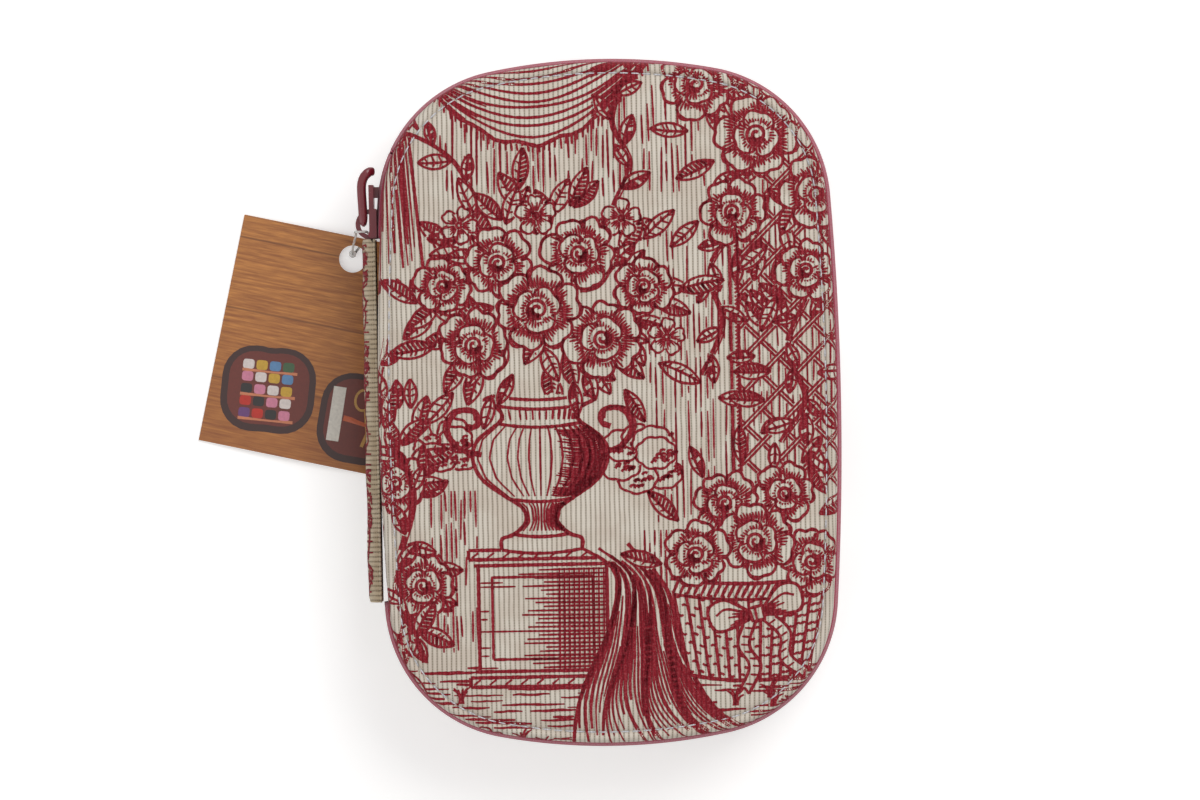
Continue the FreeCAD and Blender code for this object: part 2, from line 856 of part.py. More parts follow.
hole_x, hole_y = size("tag_hole_x"), size("tag_hole_y")
filament = size("filament_radius")
near_x = out_from_wall(size("strand_near"))
far_x = out_from_wall(size("strand_far"))
strand_y = crown_y - size("strand_back")
over_top = zip_middle + size("crown_width") / 2 + filament + size("strand_slack")
under_card = filament + size("strand_slack") / 5
head_y = hole_y + size("lock_shift")
head_top = size("lock_length")
crown_turn = size("strand_far") / 2 - size("strand_near") / 2 - 0.02
stations = (
    (hole_x, head_y, head_top - filament / 2),
    (hole_x + filament / 3, head_y + size("lock_shift"), head_top * 2),
    (far_x, strand_y, head_top * 5),
    (far_x, strand_y, over_top),
    (near_x, strand_y, over_top),
    (near_x, strand_y, under_card),
    (hole_x + filament * 2, head_y + filament, under_card),
)
bends = (size("strand_bend"), size("strand_bend"), crown_turn, crown_turn, size("strand_bend") / 4)
loop = rounded_route(
    [Vector(x.value, y.value, z.value) for x, y, z in stations],
    [bend.value for bend in bends],
)
foot = Vector(hole_x.value, head_y.value, size("strand_slack").value / 4)
head = Part.makeCylinder(numbers["lock_radius"], head_top.value, foot)
fastener = doc.addObject("Part::Feature", "Fastener")
fastener.Shape = head.fuse(round_tube(loop, filament.value))
keep(fastener, "tag_fastener")


# Swing tag: thin card, curled a little, with a punched hole

tag = new_body("TagCard")
tag_half = size("tag_width") / 2
tag_aside = size("tag_aside")
curl = size("tag_curl")
swing = (tag_half * tag_half + curl * curl) / (curl * 2)
tag_middle = size("tag_length") / 2 - size("tag_hole_drop")
card = sketch_on(tag, "TagSection", "XZ_Plane", tag_middle, -tag_aside)
runs = []
for lift in (as_size(0), size("tag_thick")):
    bow = [Vector(tag_half.value, lift.value, 0), Vector(0, (curl + lift).value, 0)]
    bow.append(Vector(-tag_half.value, lift.value, 0))
    runs.append(card.addGeometry(Part.Arc(*bow), False))
for sign, point in ((1, 1), (-1, 2)):
    foot = Vector(sign * tag_half.value, 0, 0)
    top = Vector(sign * tag_half.value, numbers["tag_thick"], 0)
    edge = card.addGeometry(Part.LineSegment(foot, top), False)
    card.addConstraint(Sketcher.Constraint("Coincident", edge, 1, runs[0], point))
    card.addConstraint(Sketcher.Constraint("Coincident", edge, 2, runs[1], point))
    place(card, edge, 1, tag_half * sign, 0)
    place(card, edge, 2, tag_half * sign, size("tag_thick"))
for run in runs:
    hold(card, "Radius", (run,), swing)
pad(tag, card, size("tag_length"), both=True)
hole = sketch_on(tag, "TagHole", "XY_Plane")
circle(hole, 0, 0, size("tag_hole_radius"))
pocket(tag, hole, size("tag_curl") * 3, reverse=True)
tag.Placement = Placement(Vector(), Rotation(Vector(0, 0, 1), -numbers["tag_turn"]))
bind(tag, ".Placement.Base.x", hole_x)
bind(tag, ".Placement.Base.y", hole_y)
keep(tag, "swing_tag")


# Kit helpers: upright and lying turned pieces, and elastic bands stitched down beside what they hold

def turned(name, role, axis, corners, height=0.0, across=0.0, along=0.0):
    """A piece turned about one axis of its half-section sketch."""
    body = new_body(name)
    section = sketch_on(body, name + "Section", role, height, across, along)
    polygon(section, corners)
    spin = body.newObject("PartDesign::Revolution", name + "Turn")
    spin.Profile = section
    spin.ReferenceAxis = (section, [axis])
    spin.Angle = 360
    return body


def level_run(index, height):
    """Test for a straight edge along an axis at a height."""
    direction = along_axis(index)
    level_edge = flat_at(height)

    def test(edge):
        return direction(edge) and level_edge(edge)

    return test


def elastic(node, role, place_on_axis, spans, floor, face, corner):
    """A flat elastic that rises off the lining in arches and lies on it between them."""
    body = new_body(node + "_strip")
    thick = size("band_thick")
    sign = 1 if face.value > floor.value else -1
    under = face - thick * sign
    raised = floor + thick * sign
    sketch = sketch_on(body, node + "Path", role, place_on_axis)
    outer = []
    inner = []
    for start, stop in spans:
        outer += [(start, raised), (start, face), (stop, face), (stop, raised)]
        low, high = start + thick, stop - thick
        inner += [(low, floor), (low, under), (high, under), (high, floor)]
    outer[0] = (spans[0][0], floor)
    outer[-1] = (spans[-1][1], floor)
    polygon(sketch, outer + inner[::-1])
    strip = pad(body, sketch, size("band_width"), both=True)
    index = 1 if role == "XZ_Plane" else 0
    outside = bevel_edges(body, strip, edges_where(strip, level_run(index, face)), corner)
    inner_corner = corner - thick * (2 - math.sqrt(2))
    bevel_edges(body, outside, edges_where(outside, level_run(index, under)), inner_corner)
    return keep(body, node)


base_floor = size("lining_drop")
lid_floor = case_height - size("lining_drop")


# Thread reels: three rows of four, each row under one elastic in the lid

reel_z = lid_floor - size("spool_radius") - 0.05
thread_names = (
    ("purple", "olive", "black", "pale_blue"),
    ("white", "mustard", "lilac", "red"),
    ("brown", "magenta", "ivory", "light_pink"),
)


def moved(body, x, y, z):
    for axis, length in zip("xyz", (x, y, z)):
        bind(body, ".Placement.Base." + axis, length)
    return body


def drum(name, radius, start, stop):
    """A many-sided drum lying along Y about its own origin."""
    item = doc.addObject("Part::Prism", name)
    item.Polygon = int(numbers["reel_sides"])
    bind(item, "Circumradius", radius)
    bind(item, "Height", stop - start)
    item.Placement = Placement(Vector(), Rotation(Vector(1, 0, 0), -90))
    bind(item, ".Placement.Base.y", start)
    return item


def reel(name, x, y):
    """A barrel between two flanges."""
    end = size("spool_length") / 2
    inside = end - size("spool_rim")
    barrel = drum(name + "Barrel", size("spool_barrel"), -inside, inside)
    near = drum(name + "Near", size("spool_radius"), -end, -inside)
    far = drum(name + "Far", size("spool_radius"), inside, end)
    half = boolean("Fuse", name + "Half", near, barrel)
    return moved(boolean("Fuse", name, half, far), x, y, reel_z)


def wound_thread(name, x, y):
    """The thread wound on one reel, as a sleeve round its barrel."""
    end = size("spool_length") / 2 - size("spool_rim")
    full = drum(name + "_full", size("thread_radius"), -end, end)
    core = drum(name + "_core", size("spool_barrel"), -end, end)
    sleeve = boolean("Cut", name + "_wound", full, core)
    return keep(moved(sleeve, x, y, reel_z), name)


wrap = size("thread_radius") + 0.1 + size("band_thick")
outer_reel = size("spool_pitch") * 1.5
inner_reel = size("spool_pitch") / 2
for row in range(3):
    row_y = size("spool_row_start") - size("spool_row_pitch") * row
    reels = []
    for column in range(4):
        reel_x = outer_reel - size("spool_pitch") * column
        reels.append(reel("Reel%d%d" % (row, column), reel_x, row_y))
        wound_thread("thread_" + thread_names[row][column], reel_x, row_y)
    keep(compound("ReelRow%d" % row, reels), "reel_row_%d" % (row + 1))
    reel_spans = [(-outer_reel - wrap, wrap - inner_reel), (inner_reel - wrap, outer_reel + wrap)]
    row_band = "reel_band_%d" % (row + 1)
    elastic(row_band, "XZ_Plane", -row_y, reel_spans, lid_floor, reel_z - wrap, wrap * 0.55)


# Needle tube: a two-part tube under a short elastic

tube_z = lid_floor - size("tube_radius") - 0.05
tube_end = size("tube_length") / 2
tube_split = tube_end - size("tube_cap_length")
tube_bore = size("tube_radius") - size("tube_wall") * 2
neck = size("tube_radius") - size("tube_wall") - 0.05
neck_end = tube_split + size("tube_neck")
tube = turned("NeedleTube", "XY_Plane", "H_Axis", [
    (-tube_end, 0),
    (-tube_end, size("tube_radius")),
    (tube_split, size("tube_radius")),
    (tube_split, neck),
    (neck_end, neck),
    (neck_end, tube_bore),
    (size("tube_wall") - tube_end, tube_bore),
    (size("tube_wall") - tube_end, 0),
])
keep(moved(tube, 0.0, size("tube_y"), tube_z), "needle_tube")
cap = turned("NeedleTubeCap", "XY_Plane", "H_Axis", [
    (tube_split + 0.1, neck + 0.05),
    (tube_split + 0.1, size("tube_radius")),
    (tube_end, size("tube_radius")),
    (tube_end, 0),
    (tube_end - size("tube_wall"), 0),
    (tube_end - size("tube_wall"), neck + 0.05),
])
keep(moved(cap, 0.0, size("tube_y"), tube_z), "needle_tube_cap")
tube_wrap = size("tube_radius") + 0.1 + size("band_thick")
tube_span = [(size("tube_y") - tube_wrap, size("tube_y") + tube_wrap)]
elastic("needle_tube_band", "YZ_Plane", 0.0, tube_span, lid_floor, tube_z - tube_wrap, tube_wrap * 0.55)


# Pin pad: a small felt-covered cushion with ball-headed pins lying across it

cushion = new_body("PinCushion")
cushion_plan = sketch_on(cushion, "PinCushionPlan", "XY_Plane", lid_floor)


def rectangle(sketch, x, y, width, length):
    half_width, half_length = as_size(width) / 2, as_size(length) / 2
    x, y = as_size(x), as_size(y)
    polygon(sketch, [
        (x - half_width, y - half_length),
        (x + half_width, y - half_length),
        (x + half_width, y + half_length),
        (x - half_width, y + half_length),
    ])


rectangle(cushion_plan, 0, size("pad_y"), size("pad_width"), size("pad_length"))
cushion_block = pad(cushion, cushion_plan, size("pad_thick"), reverse=True)
pad_face = lid_floor - size("pad_thick")
upright = bevel_edges(cushion, cushion_block, edges_where(cushion_block, along_axis(2)), size("pad_corner"))
bevel_edges(cushion, upright, edges_where(upright, flat_at(pad_face)), size("pad_soft"))
keep(cushion, "pin_pad")

pin_z = pad_face - size("pin_shank") - 0.05
pins = []
for index in range(5):
    length_of_shank = size("pin_length") - size("pin_head")
    pin_x_place = size("pin_pitch") * (index - 2)
    shank_end = size("pad_y") + size("pad_length") / 2 + size("pin_head") + 0.3
    shank = drum("PinShank%d" % index, size("pin_shank"), -length_of_shank, as_size(0))
    knob = drum("PinHead%d" % index, size("pin_head"), -size("pin_head") / 2, size("pin_head"))
    for item in (shank, knob):
        item.Polygon = int(numbers["pin_sides"])
    pins.append(moved(boolean("Fuse", "DressPin%d" % index, knob, shank), pin_x_place, shank_end, pin_z))
keep(compound("Pins", pins), "pins")
pin_reach = size("pad_width") / 2 + 0.1 + size("band_thick")
pin_span = [(-pin_reach, pin_reach)]
pin_face = pin_z - size("pin_shank") - 0.1 - size("band_thick")
elastic("pin_band", "XZ_Plane", -size("pad_y"), pin_span, lid_floor, pin_face, size("band_thick") * 3)


# Tape measure: one long ribbon folded to and fro into a flat stack

measure = new_body("MeasureStack")
measure_end = size("measure_length") / 2
stack = sketch_on(measure, "MeasurePlan", "XY_Plane", base_floor)
rectangle(stack, size("measure_x"), size("measure_y"), size("measure_width"), size("measure_length"))
stack_height = size("measure_layer") * size("measure_layers")
pad(measure, stack, stack_height)
for first, count, sign in ((1, 4, 1), (2, 3, -1)):
    fold = sketch_on(measure, "MeasureFold%d" % first, "YZ_Plane", size("measure_x"))
    closed = size("measure_y") - measure_end * sign + size("measure_fold") * sign
    opened = size("measure_y") + (measure_end + 1) * sign
    low = base_floor + size("measure_layer") * first - size("measure_gap") / 2
    polygon(fold, [
        (closed, low),
        (opened, low),
        (opened, low + size("measure_gap")),
        (closed, low + size("measure_gap")),
    ])
    slot = pocket(measure, fold, size("measure_width") * 2, both=True)
    stacked = measure.newObject("PartDesign::LinearPattern", "MeasureFolds%d" % first)
    stacked.Originals = [slot]
    stacked.Direction = (fold, ["V_Axis"])
    bind(stacked, "Length", size("measure_layer") * 2 * (count - 1))
    stacked.Occurrences = count
keep(measure, "tape_measure")
measure_wrap = size("measure_width") / 2 + 0.2 + size("band_thick")
measure_span = [(size("measure_x") - measure_wrap, size("measure_x") + measure_wrap)]
measure_face = base_floor + stack_height + 0.1 + size("band_thick")
measure_turn = size("band_thick") * 0.9
measure_row = -size("measure_y")
elastic("tape_measure_band", "XZ_Plane", measure_row, measure_span, base_floor, measure_face, measure_turn)


# Scissors: two flat halves crossing at a screw, held under one elastic

HALF_PLAN = (
    ("tip", -0.4, -48),
    ("edge middle", 0.9, -30),
    ("edge heel", 1.6, -8),
    ("pivot right", 3.2, -1),
    ("shank right", 4.8, 3.4),
    ("ring right", 9.5, 11),
    ("ring left", 3.3, 15.5),
    ("shank left", 0.8, 9.2),
    ("pivot left", -3.4, 4.4),
    ("spine heel", -4.4, 0),
    ("spine upper", -4.1, -8),
    ("spine lower", -3.2, -26),
)


def scissor_half(node, side, blade_low, ring_low):
    """One half; side 1 has its ring at the right and its blade at the left."""
    body = new_body(node + "_half")
    plan = sketch_on(body, node + "Blade", "XY_Plane", blade_low, size("pivot_x"), size("pivot_y"))
    polygon(plan, [(x * side, y) for name, x, y in HALF_PLAN])
    blade = pad(body, plan, size("blade_thick"))
    ring_x = size("pivot_x") + size("loop_x") * side
    ring = sketch_on(body, node + "Ring", "XY_Plane", ring_low, ring_x, size("pivot_y") + size("loop_y"))
    for inset in (as_size(0), size("loop_bar")):
        outline(
            ring,
            size("loop_half_width") - inset,
            size("loop_half_length") - inset,
            size("loop_corner") - inset,
            size("loop_side") - inset,
            size("loop_end") - inset,
        )
    pad(body, ring, size("loop_thick"))
    hole = sketch_on(body, node + "Hole", "XY_Plane", blade_low, size("pivot_x"), size("pivot_y"))
    circle(hole, 0, 0, size("screw_radius") + 0.1)
    pocket(body, hole, size("blade_thick") * 3, both=True)
    return keep(body, node)


upper_blade = base_floor + size("blade_thick") + size("blade_gap")
scissor_top = upper_blade + size("blade_thick")
scissor_half("scissors_lower", -1, base_floor, base_floor)
scissor_half("scissors_upper", 1, upper_blade, scissor_top - size("loop_thick"))

screw = new_body("ScissorScrew")
shaft = sketch_on(screw, "ScrewShaft", "XY_Plane", base_floor)
circle(shaft, size("pivot_x"), size("pivot_y"), size("screw_radius"))
pad(screw, shaft, size("blade_thick") * 2 + size("blade_gap") + 0.05)
screw_face = scissor_top + 0.05
screw_disc = sketch_on(screw, "ScrewHead", "XY_Plane", screw_face)
circle(screw_disc, size("pivot_x"), size("pivot_y"), size("screw_head_radius"))
pad(screw, screw_disc, size("screw_head"))
slot_cut = sketch_on(screw, "ScrewSlot", "XY_Plane", screw_face + size("screw_head"))
rectangle(slot_cut, size("pivot_x"), size("pivot_y"), size("screw_head_radius") * 3, size("screw_slot"))
pocket(screw, slot_cut, size("screw_slot"))
keep(screw, "scissor_screw")

scissor_band_top = screw_face + size("screw_head") + 0.15 + size("band_thick")
band_thick = size("band_thick")
band = new_body("ScissorBand")
band_path = sketch_on(band, "ScissorBandPath", "XZ_Plane", -size("band_y"))
arch_left = size("pivot_x") - size("band_arch_left")
arch_right = size("pivot_x") + size("band_arch_right")
polygon(band_path, [
    (-size("band_left_end"), base_floor),
    (-size("band_left_end"), base_floor + band_thick),
    (arch_left, base_floor + band_thick),
    (arch_left, scissor_band_top),
    (arch_right, scissor_band_top),
    (arch_right, base_floor + band_thick),
    (size("band_right_end"), base_floor + band_thick),
    (size("band_right_end"), base_floor),
    (arch_right - band_thick, base_floor),
    (arch_right - band_thick, scissor_band_top - band_thick),
    (arch_left + band_thick, scissor_band_top - band_thick),
    (arch_left + band_thick, base_floor),
])
band_strip = pad(band, band_path, size("band_width"), both=True)
band_outside = edges_where(band_strip, level_run(1, scissor_band_top))
band_outside = round_edges(band, band_strip, band_outside, band_thick * 2)
band_inside = edges_where(band_outside, level_run(1, scissor_band_top - band_thick))
round_edges(band, band_outside, band_inside, band_thick)
keep(band, "scissor_band")


# Small notions in the base: spare buttons, marking chalk and a needle threader

def button(name, y):
    rim = size("button_rim")
    body = turned(name, "XZ_Plane", "V_Axis", [
        (0, 0),
        (size("button_radius"), 0),
        (size("button_radius"), size("button_thick")),
        (size("button_radius") - rim, size("button_thick")),
        (size("button_radius") - rim, size("button_thick") - size("button_dish")),
        (0, size("button_thick") - size("button_dish")),
    ])
    eye = sketch_on(body, name + "Eye", "XY_Plane")
    circle(eye, size("button_eye_place"), 0, size("button_eye"))
    hole = pocket(body, eye, size("button_thick") * 3, both=True)
    eyes = body.newObject("PartDesign::PolarPattern", name + "Eyes")
    eyes.Originals = [hole]
    eyes.Axis = (eye, ["N_Axis"])
    eyes.Angle = 360
    eyes.Occurrences = 4
    return moved(body, size("button_x"), y, base_floor)


first_button = button("FirstButton", size("button_y"))
second_button = button("SecondButton", size("button_y") - size("button_pitch"))
keep(compound("Buttons", [first_button, second_button]), "spare_buttons")

chalk = new_body("ChalkBlock")
chalk_plan = sketch_on(chalk, "ChalkPlan", "XY_Plane", base_floor)
rectangle(chalk_plan, size("chalk_x"), size("chalk_y"), size("chalk_width"), size("chalk_length"))
chalk_block = pad(chalk, chalk_plan, size("chalk_thick"))
round_edges(chalk, chalk_block, edges_where(chalk_block, along_axis(2)), size("chalk_round"))
keep(chalk, "marking_chalk")

threader = new_body("ThreaderPlate")
threader_plan = sketch_on(threader, "ThreaderPlan", "XY_Plane", base_floor)
half_threader = size("threader_width") / 2
threader_x, threader_y = size("threader_x"), size("threader_y")
polygon(threader_plan, [
    (threader_x - half_threader, threader_y + size("threader_length")),
    (threader_x - half_threader, threader_y),
    (threader_x - half_threader / 3, threader_y - size("threader_length") / 2),
    (threader_x + half_threader / 3, threader_y - size("threader_length") / 2),
    (threader_x + half_threader, threader_y),
    (threader_x + half_threader, threader_y + size("threader_length")),
])
threader_plate = pad(threader, threader_plan, size("threader_thick"))
round_edges(threader, threader_plate, edges_where(threader_plate, along_axis(2)), size("threader_thick"))
wire = sketch_on(threader, "ThreaderWire", "XY_Plane", base_floor)
wire_start = threader_y - size("threader_length") / 2 + 0.3
wire_belly = size("threader_loop") / 5
wire_root = size("threader_wire") * 2
for inset in (as_size(0), size("threader_wire")):
    polygon(wire, [
        (threader_x - wire_root + inset, wire_start),
        (threader_x - wire_belly + inset, wire_start - size("threader_loop") / 2),
        (threader_x, wire_start - size("threader_loop") + inset * 2.4),
        (threader_x + wire_belly - inset, wire_start - size("threader_loop") / 2),
        (threader_x + wire_root - inset, wire_start),
    ])
pad(threader, wire, size("threader_thick"))
keep(threader, "needle_threader")


doc.recompute()
for item in doc.Objects:
    for flag in ("Invalid", "Error"):
        if flag in item.State:
            raise RuntimeError("%s is not built" % item.Label)
for node in nodes:
    if node.Shape.isNull() or not node.Shape.isValid():
        raise RuntimeError("%s has no sound shape" % node.Label)
for node in nodes:
    node.Shape.exportStep("parts/%s.step" % node.Label)
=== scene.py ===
import math
import random

import bmesh
import bpy
import numpy as np
from mathutils import Matrix, Vector
from mathutils.geometry import delaunay_2d_cdt


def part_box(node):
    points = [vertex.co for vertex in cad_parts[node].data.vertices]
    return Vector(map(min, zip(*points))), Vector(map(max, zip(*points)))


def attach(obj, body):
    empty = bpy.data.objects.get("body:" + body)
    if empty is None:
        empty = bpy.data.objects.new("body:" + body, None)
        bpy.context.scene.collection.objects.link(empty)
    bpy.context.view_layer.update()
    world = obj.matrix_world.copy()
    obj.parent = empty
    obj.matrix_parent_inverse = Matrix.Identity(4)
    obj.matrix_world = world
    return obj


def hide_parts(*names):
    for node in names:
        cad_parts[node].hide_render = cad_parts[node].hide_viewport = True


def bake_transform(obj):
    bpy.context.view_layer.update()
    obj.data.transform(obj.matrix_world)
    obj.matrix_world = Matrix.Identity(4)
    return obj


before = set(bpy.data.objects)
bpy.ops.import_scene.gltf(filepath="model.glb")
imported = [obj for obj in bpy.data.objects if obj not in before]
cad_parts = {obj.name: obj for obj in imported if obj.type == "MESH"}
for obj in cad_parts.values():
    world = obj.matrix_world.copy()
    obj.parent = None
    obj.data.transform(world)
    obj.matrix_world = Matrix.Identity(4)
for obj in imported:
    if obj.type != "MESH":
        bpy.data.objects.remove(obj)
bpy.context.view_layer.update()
mm = 0.001


# Plan of the case: slightly bowed sides and ends that run into large round corners.
# Covers, linings and zip all follow this one line, each a given distance inside it.

case_low, case_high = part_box("lid_cover")
half_width = case_high.x
half_length = case_high.y
corner_radius = 32 * mm
side_radius = 700 * mm
end_radius = 137 * mm
quarter = math.pi / 2

corner_x = half_width - corner_radius
corner_y = half_length - corner_radius
for settle in range(40):
    corner_x = half_width - side_radius + math.sqrt((side_radius - corner_radius) ** 2 - corner_y ** 2)
    corner_y = half_length - end_radius + math.sqrt((end_radius - corner_radius) ** 2 - corner_x ** 2)
side_lean = math.atan2(corner_y, corner_x - half_width + side_radius)
end_lean = math.atan2(corner_x, corner_y - half_length + end_radius)


def rim_walk(spacing):
    """Points round the rim and their outward normals, anticlockwise from the middle of the right side."""
    runs = [
        (half_width - side_radius, 0, side_radius, 0, side_lean),
        (corner_x, corner_y, corner_radius, side_lean, quarter - end_lean),
        (0, half_length - end_radius, end_radius, quarter - end_lean, quarter),
    ]
    points, normals = [], []
    for x, y, radius, start, stop in runs:
        steps = max(2, round(radius * (stop - start) / spacing))
        for step in range(steps):
            angle = start + (stop - start) * step / steps
            normals.append((math.cos(angle), math.sin(angle)))
            points.append((x + radius * math.cos(angle), y + radius * math.sin(angle)))
    points.append((0, half_length))
    normals.append((0, 1))
    points, normals = np.array(points), np.array(normals)
    around = [(1, 1, 1), (-1, 1, -1), (-1, -1, 1), (1, -1, -1)]
    walk = [[group[::way][:-1] * (side, end) for side, end, way in around] for group in (points, normals)]
    return np.concatenate(walk[0]), np.concatenate(walk[1])


def rim_near(plan):
    """For points of the plan: the rim's outward normal beside each, and how far inside the rim it lies."""
    away = np.abs(plan)
    side_x = away[:, 0] - half_width + side_radius
    end_y = away[:, 1] - half_length + end_radius
    on_side = np.arctan2(away[:, 1], side_x) <= side_lean
    on_end = np.arctan2(away[:, 0], end_y) <= end_lean
    arms = [
        np.stack([side_x, away[:, 1]], 1),
        np.stack([away[:, 0], end_y], 1),
        away - (corner_x, corner_y),
    ]
    reach = [np.linalg.norm(arm, axis=1) for arm in arms]
    inside = [side_radius - reach[0], end_radius - reach[1], corner_radius - reach[2]]
    inside[0] = np.where(on_side, inside[0], np.inf)
    inside[1] = np.where(on_end, inside[1], np.inf)
    inside[2] = np.where(on_side | on_end, np.inf, inside[2])
    pick = np.argmin(inside, axis=0)
    each = np.arange(len(plan))
    arm = np.array(arms)[pick, each]
    normal = arm / np.array(reach)[pick, each][:, None]
    return normal * np.where(plan < 0, -1, 1), np.array(inside)[pick, each]


def new_piece(name, points, faces, smooth=True):
    """A mesh object made of points and faces, in the row frame."""
    mesh = bpy.data.meshes.new(name)
    mesh.from_pydata([tuple(point) for point in points], [], [tuple(face) for face in faces])
    mesh.update()
    if smooth:
        mesh.shade_smooth()
    piece = bpy.data.objects.new(name, mesh)
    bpy.context.scene.collection.objects.link(piece)
    return piece


def ring_faces(rings, around, flip=False, closed=True):
    """Four-sided faces between neighbouring rings of equal count."""
    faces = []
    for ring in range(rings - 1):
        for step in range(around if closed else around - 1):
            near, far = ring * around + step, ring * around + (step + 1) % around
            face = (near, far, far + around, near + around)
            faces.append(face[::-1] if flip else face)
    return faces


# Finishes are put together from shader nodes: a helper adds one node, sets its options and its
# plain values, and joins the sockets that it is handed.

def tint(red, green, blue):
    """A colour as a painter's chart gives it, 0 to 255, turned to the shader's linear scale."""
    channels = []
    for channel in (red, green, blue):
        share = channel / 255
        channels.append(share / 12.92 if share <= 0.04045 else ((share + 0.055) / 1.055) ** 2.4)
    return (*channels, 1)


def new_finish(name, roughness, **sockets):
    """An empty finish: its material, its node tree and its surface shader."""
    material = bpy.data.materials.new(name)
    material.use_nodes = True
    shader = material.node_tree.nodes["Principled BSDF"]
    shader.inputs["Roughness"].default_value = roughness
    for socket, value in sockets.items():
        shader.inputs[socket.replace("_", " ")].default_value = value
    return material, material.node_tree, shader


def add_node(tree, kind, sockets, **options):
    """One shader node; a socket takes either a plain value or another node's output."""
    node = tree.nodes.new("ShaderNode" + kind)
    for option, value in options.items():
        setattr(node, option, value)
    for socket, value in sockets.items():
        if isinstance(value, bpy.types.NodeSocket):
            tree.links.new(value, node.inputs[socket])
        else:
            node.inputs[socket].default_value = value
    return node


def blend_of(tree, share, first, second, way="MIX"):
    """Two colours mixed by a share."""
    node = add_node(tree, "Mix", {0: share, 6: first, 7: second}, data_type="RGBA", blend_type=way)
    return node.outputs[2]


def sum_of(tree, way, first, second=0.0, third=0.0):
    """Arithmetic on one, two or three values."""
    return add_node(tree, "Math", {0: first, 1: second, 2: third}, operation=way).outputs[0]


def times(tree, first, second):
    """One value multiplied by another."""
    return sum_of(tree, "MULTIPLY", first, second)


def band_of(tree, value, low, high, start=0.0, stop=1.0):
    """A value carried smoothly from one range to another, and held at its ends."""
    sockets = {0: value, 1: low, 2: high, 3: start, 4: stop}
    return add_node(tree, "MapRange", sockets, interpolation_type="SMOOTHSTEP").outputs[0]


def speckle_of(tree, scale, detail=3.0, vector=None, roughness=0.55):
    """Cloudy noise, from 0 to 1, in the object's own coordinates unless others are given."""
    where = vector or solid_place(tree)
    sockets = {"Vector": where, "Scale": scale, "Detail": detail, "Roughness": roughness}
    return add_node(tree, "TexNoise", sockets).outputs[0]


def solid_place(tree):
    """The place of a point in the case's own frame, in metres."""
    return add_node(tree, "TexCoord", {}).outputs["Object"]


def cloth_place(tree):
    """The flat-cloth place of a point in millimetres, whole and split into its axes."""
    place = add_node(tree, "UVMap", {}, uv_map="cloth").outputs[0]
    return place, add_node(tree, "SeparateXYZ", {0: place})


def colour_with(tree, shader, colour):
    """Links a colour to the shader."""
    tree.links.new(colour, shader.inputs["Base Color"])


def relief(tree, shader, height, distance, strength=1.0):
    """Small surface relief from a height value."""
    node = add_node(tree, "Bump", {"Height": height, "Strength": strength, "Distance": distance})
    tree.links.new(node.outputs[0], shader.inputs["Normal"])


# Printed cover of each half: corded cotton, moulded with its foam board. The cloth turns over the
# board's edge as a soft roll, dips into a stitched crease and rises over the low dome of the face.

rib_pitch = 1.14 * mm
dot_pitch = 0.62 * mm
crease_inside = 2.9 * mm
lid_depth = case_high.z - case_low.z
base_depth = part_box("base_cover")[1].z
lid_face = case_high.z
cloth_rise = 0.06 * mm


def curve_point(before, here, there, after, t):
    """A point of the smooth curve through four points, t of the way from the second to the third."""
    return 0.5 * (2 * here + (there - before) * t + (2 * before - 5 * here + 4 * there - after) * t * t
        + (3 * here - before - 3 * there + after) * t ** 3)


def cover_line(depth):
    """The cover's section from the rim to the flat of the face, as the distance
    inside the rim and the drop from the face."""
    knots = [
        (0.8, depth / mm - 0.1), (0.2, depth / mm - 0.05), (0.0, depth / mm - 0.5), (0.1, depth / mm - 3),
        (0.22, 6.5), (0.3, 4.6), (0.42, 3.4), (0.95, 2.45), (1.75, 2.12), (2.45, 2.42),
        (2.9, 2.95), (3.35, 2.5), (4.4, 2.02), (8.0, 1.3), (13.0, 0.7), (20.0, 0.2), (27.0, 0.02),
    ]
    knots = np.array(knots) * mm
    padded = np.concatenate([[2 * knots[0] - knots[1]], knots, [2 * knots[-1] - knots[-2]]])
    line = []
    for index in range(1, len(padded) - 2):
        before, here, there, after = padded[index - 1:index + 3]
        stride = 0.3 * mm if 4 < index < 12 else 1.6 * mm
        steps = max(2, math.ceil(np.linalg.norm(there - here) / stride))
        for step in range(steps):
            t = step / steps
            line.append(curve_point(before, here, there, after, t))
    line.append(knots[-1])
    return np.array(line)


def run_along(points):
    """Distance along a line from its first point to each of its points."""
    return np.concatenate([[0], np.cumsum(np.linalg.norm(np.diff(points, axis=0), axis=1))])


def cloth_sway(plan):
    """Slight unevenness of cloth stretched over foam, as a lift of the face."""
    x, y = plan[:, 0] / mm, plan[:, 1] / mm
    return mm * (0.05 * np.sin(x / 9.1 + y / 14.7) + 0.04 * np.sin(y / 7.3 - x / 17.9)
        + 0.03 * np.sin(x / 4.7 + 1.3))


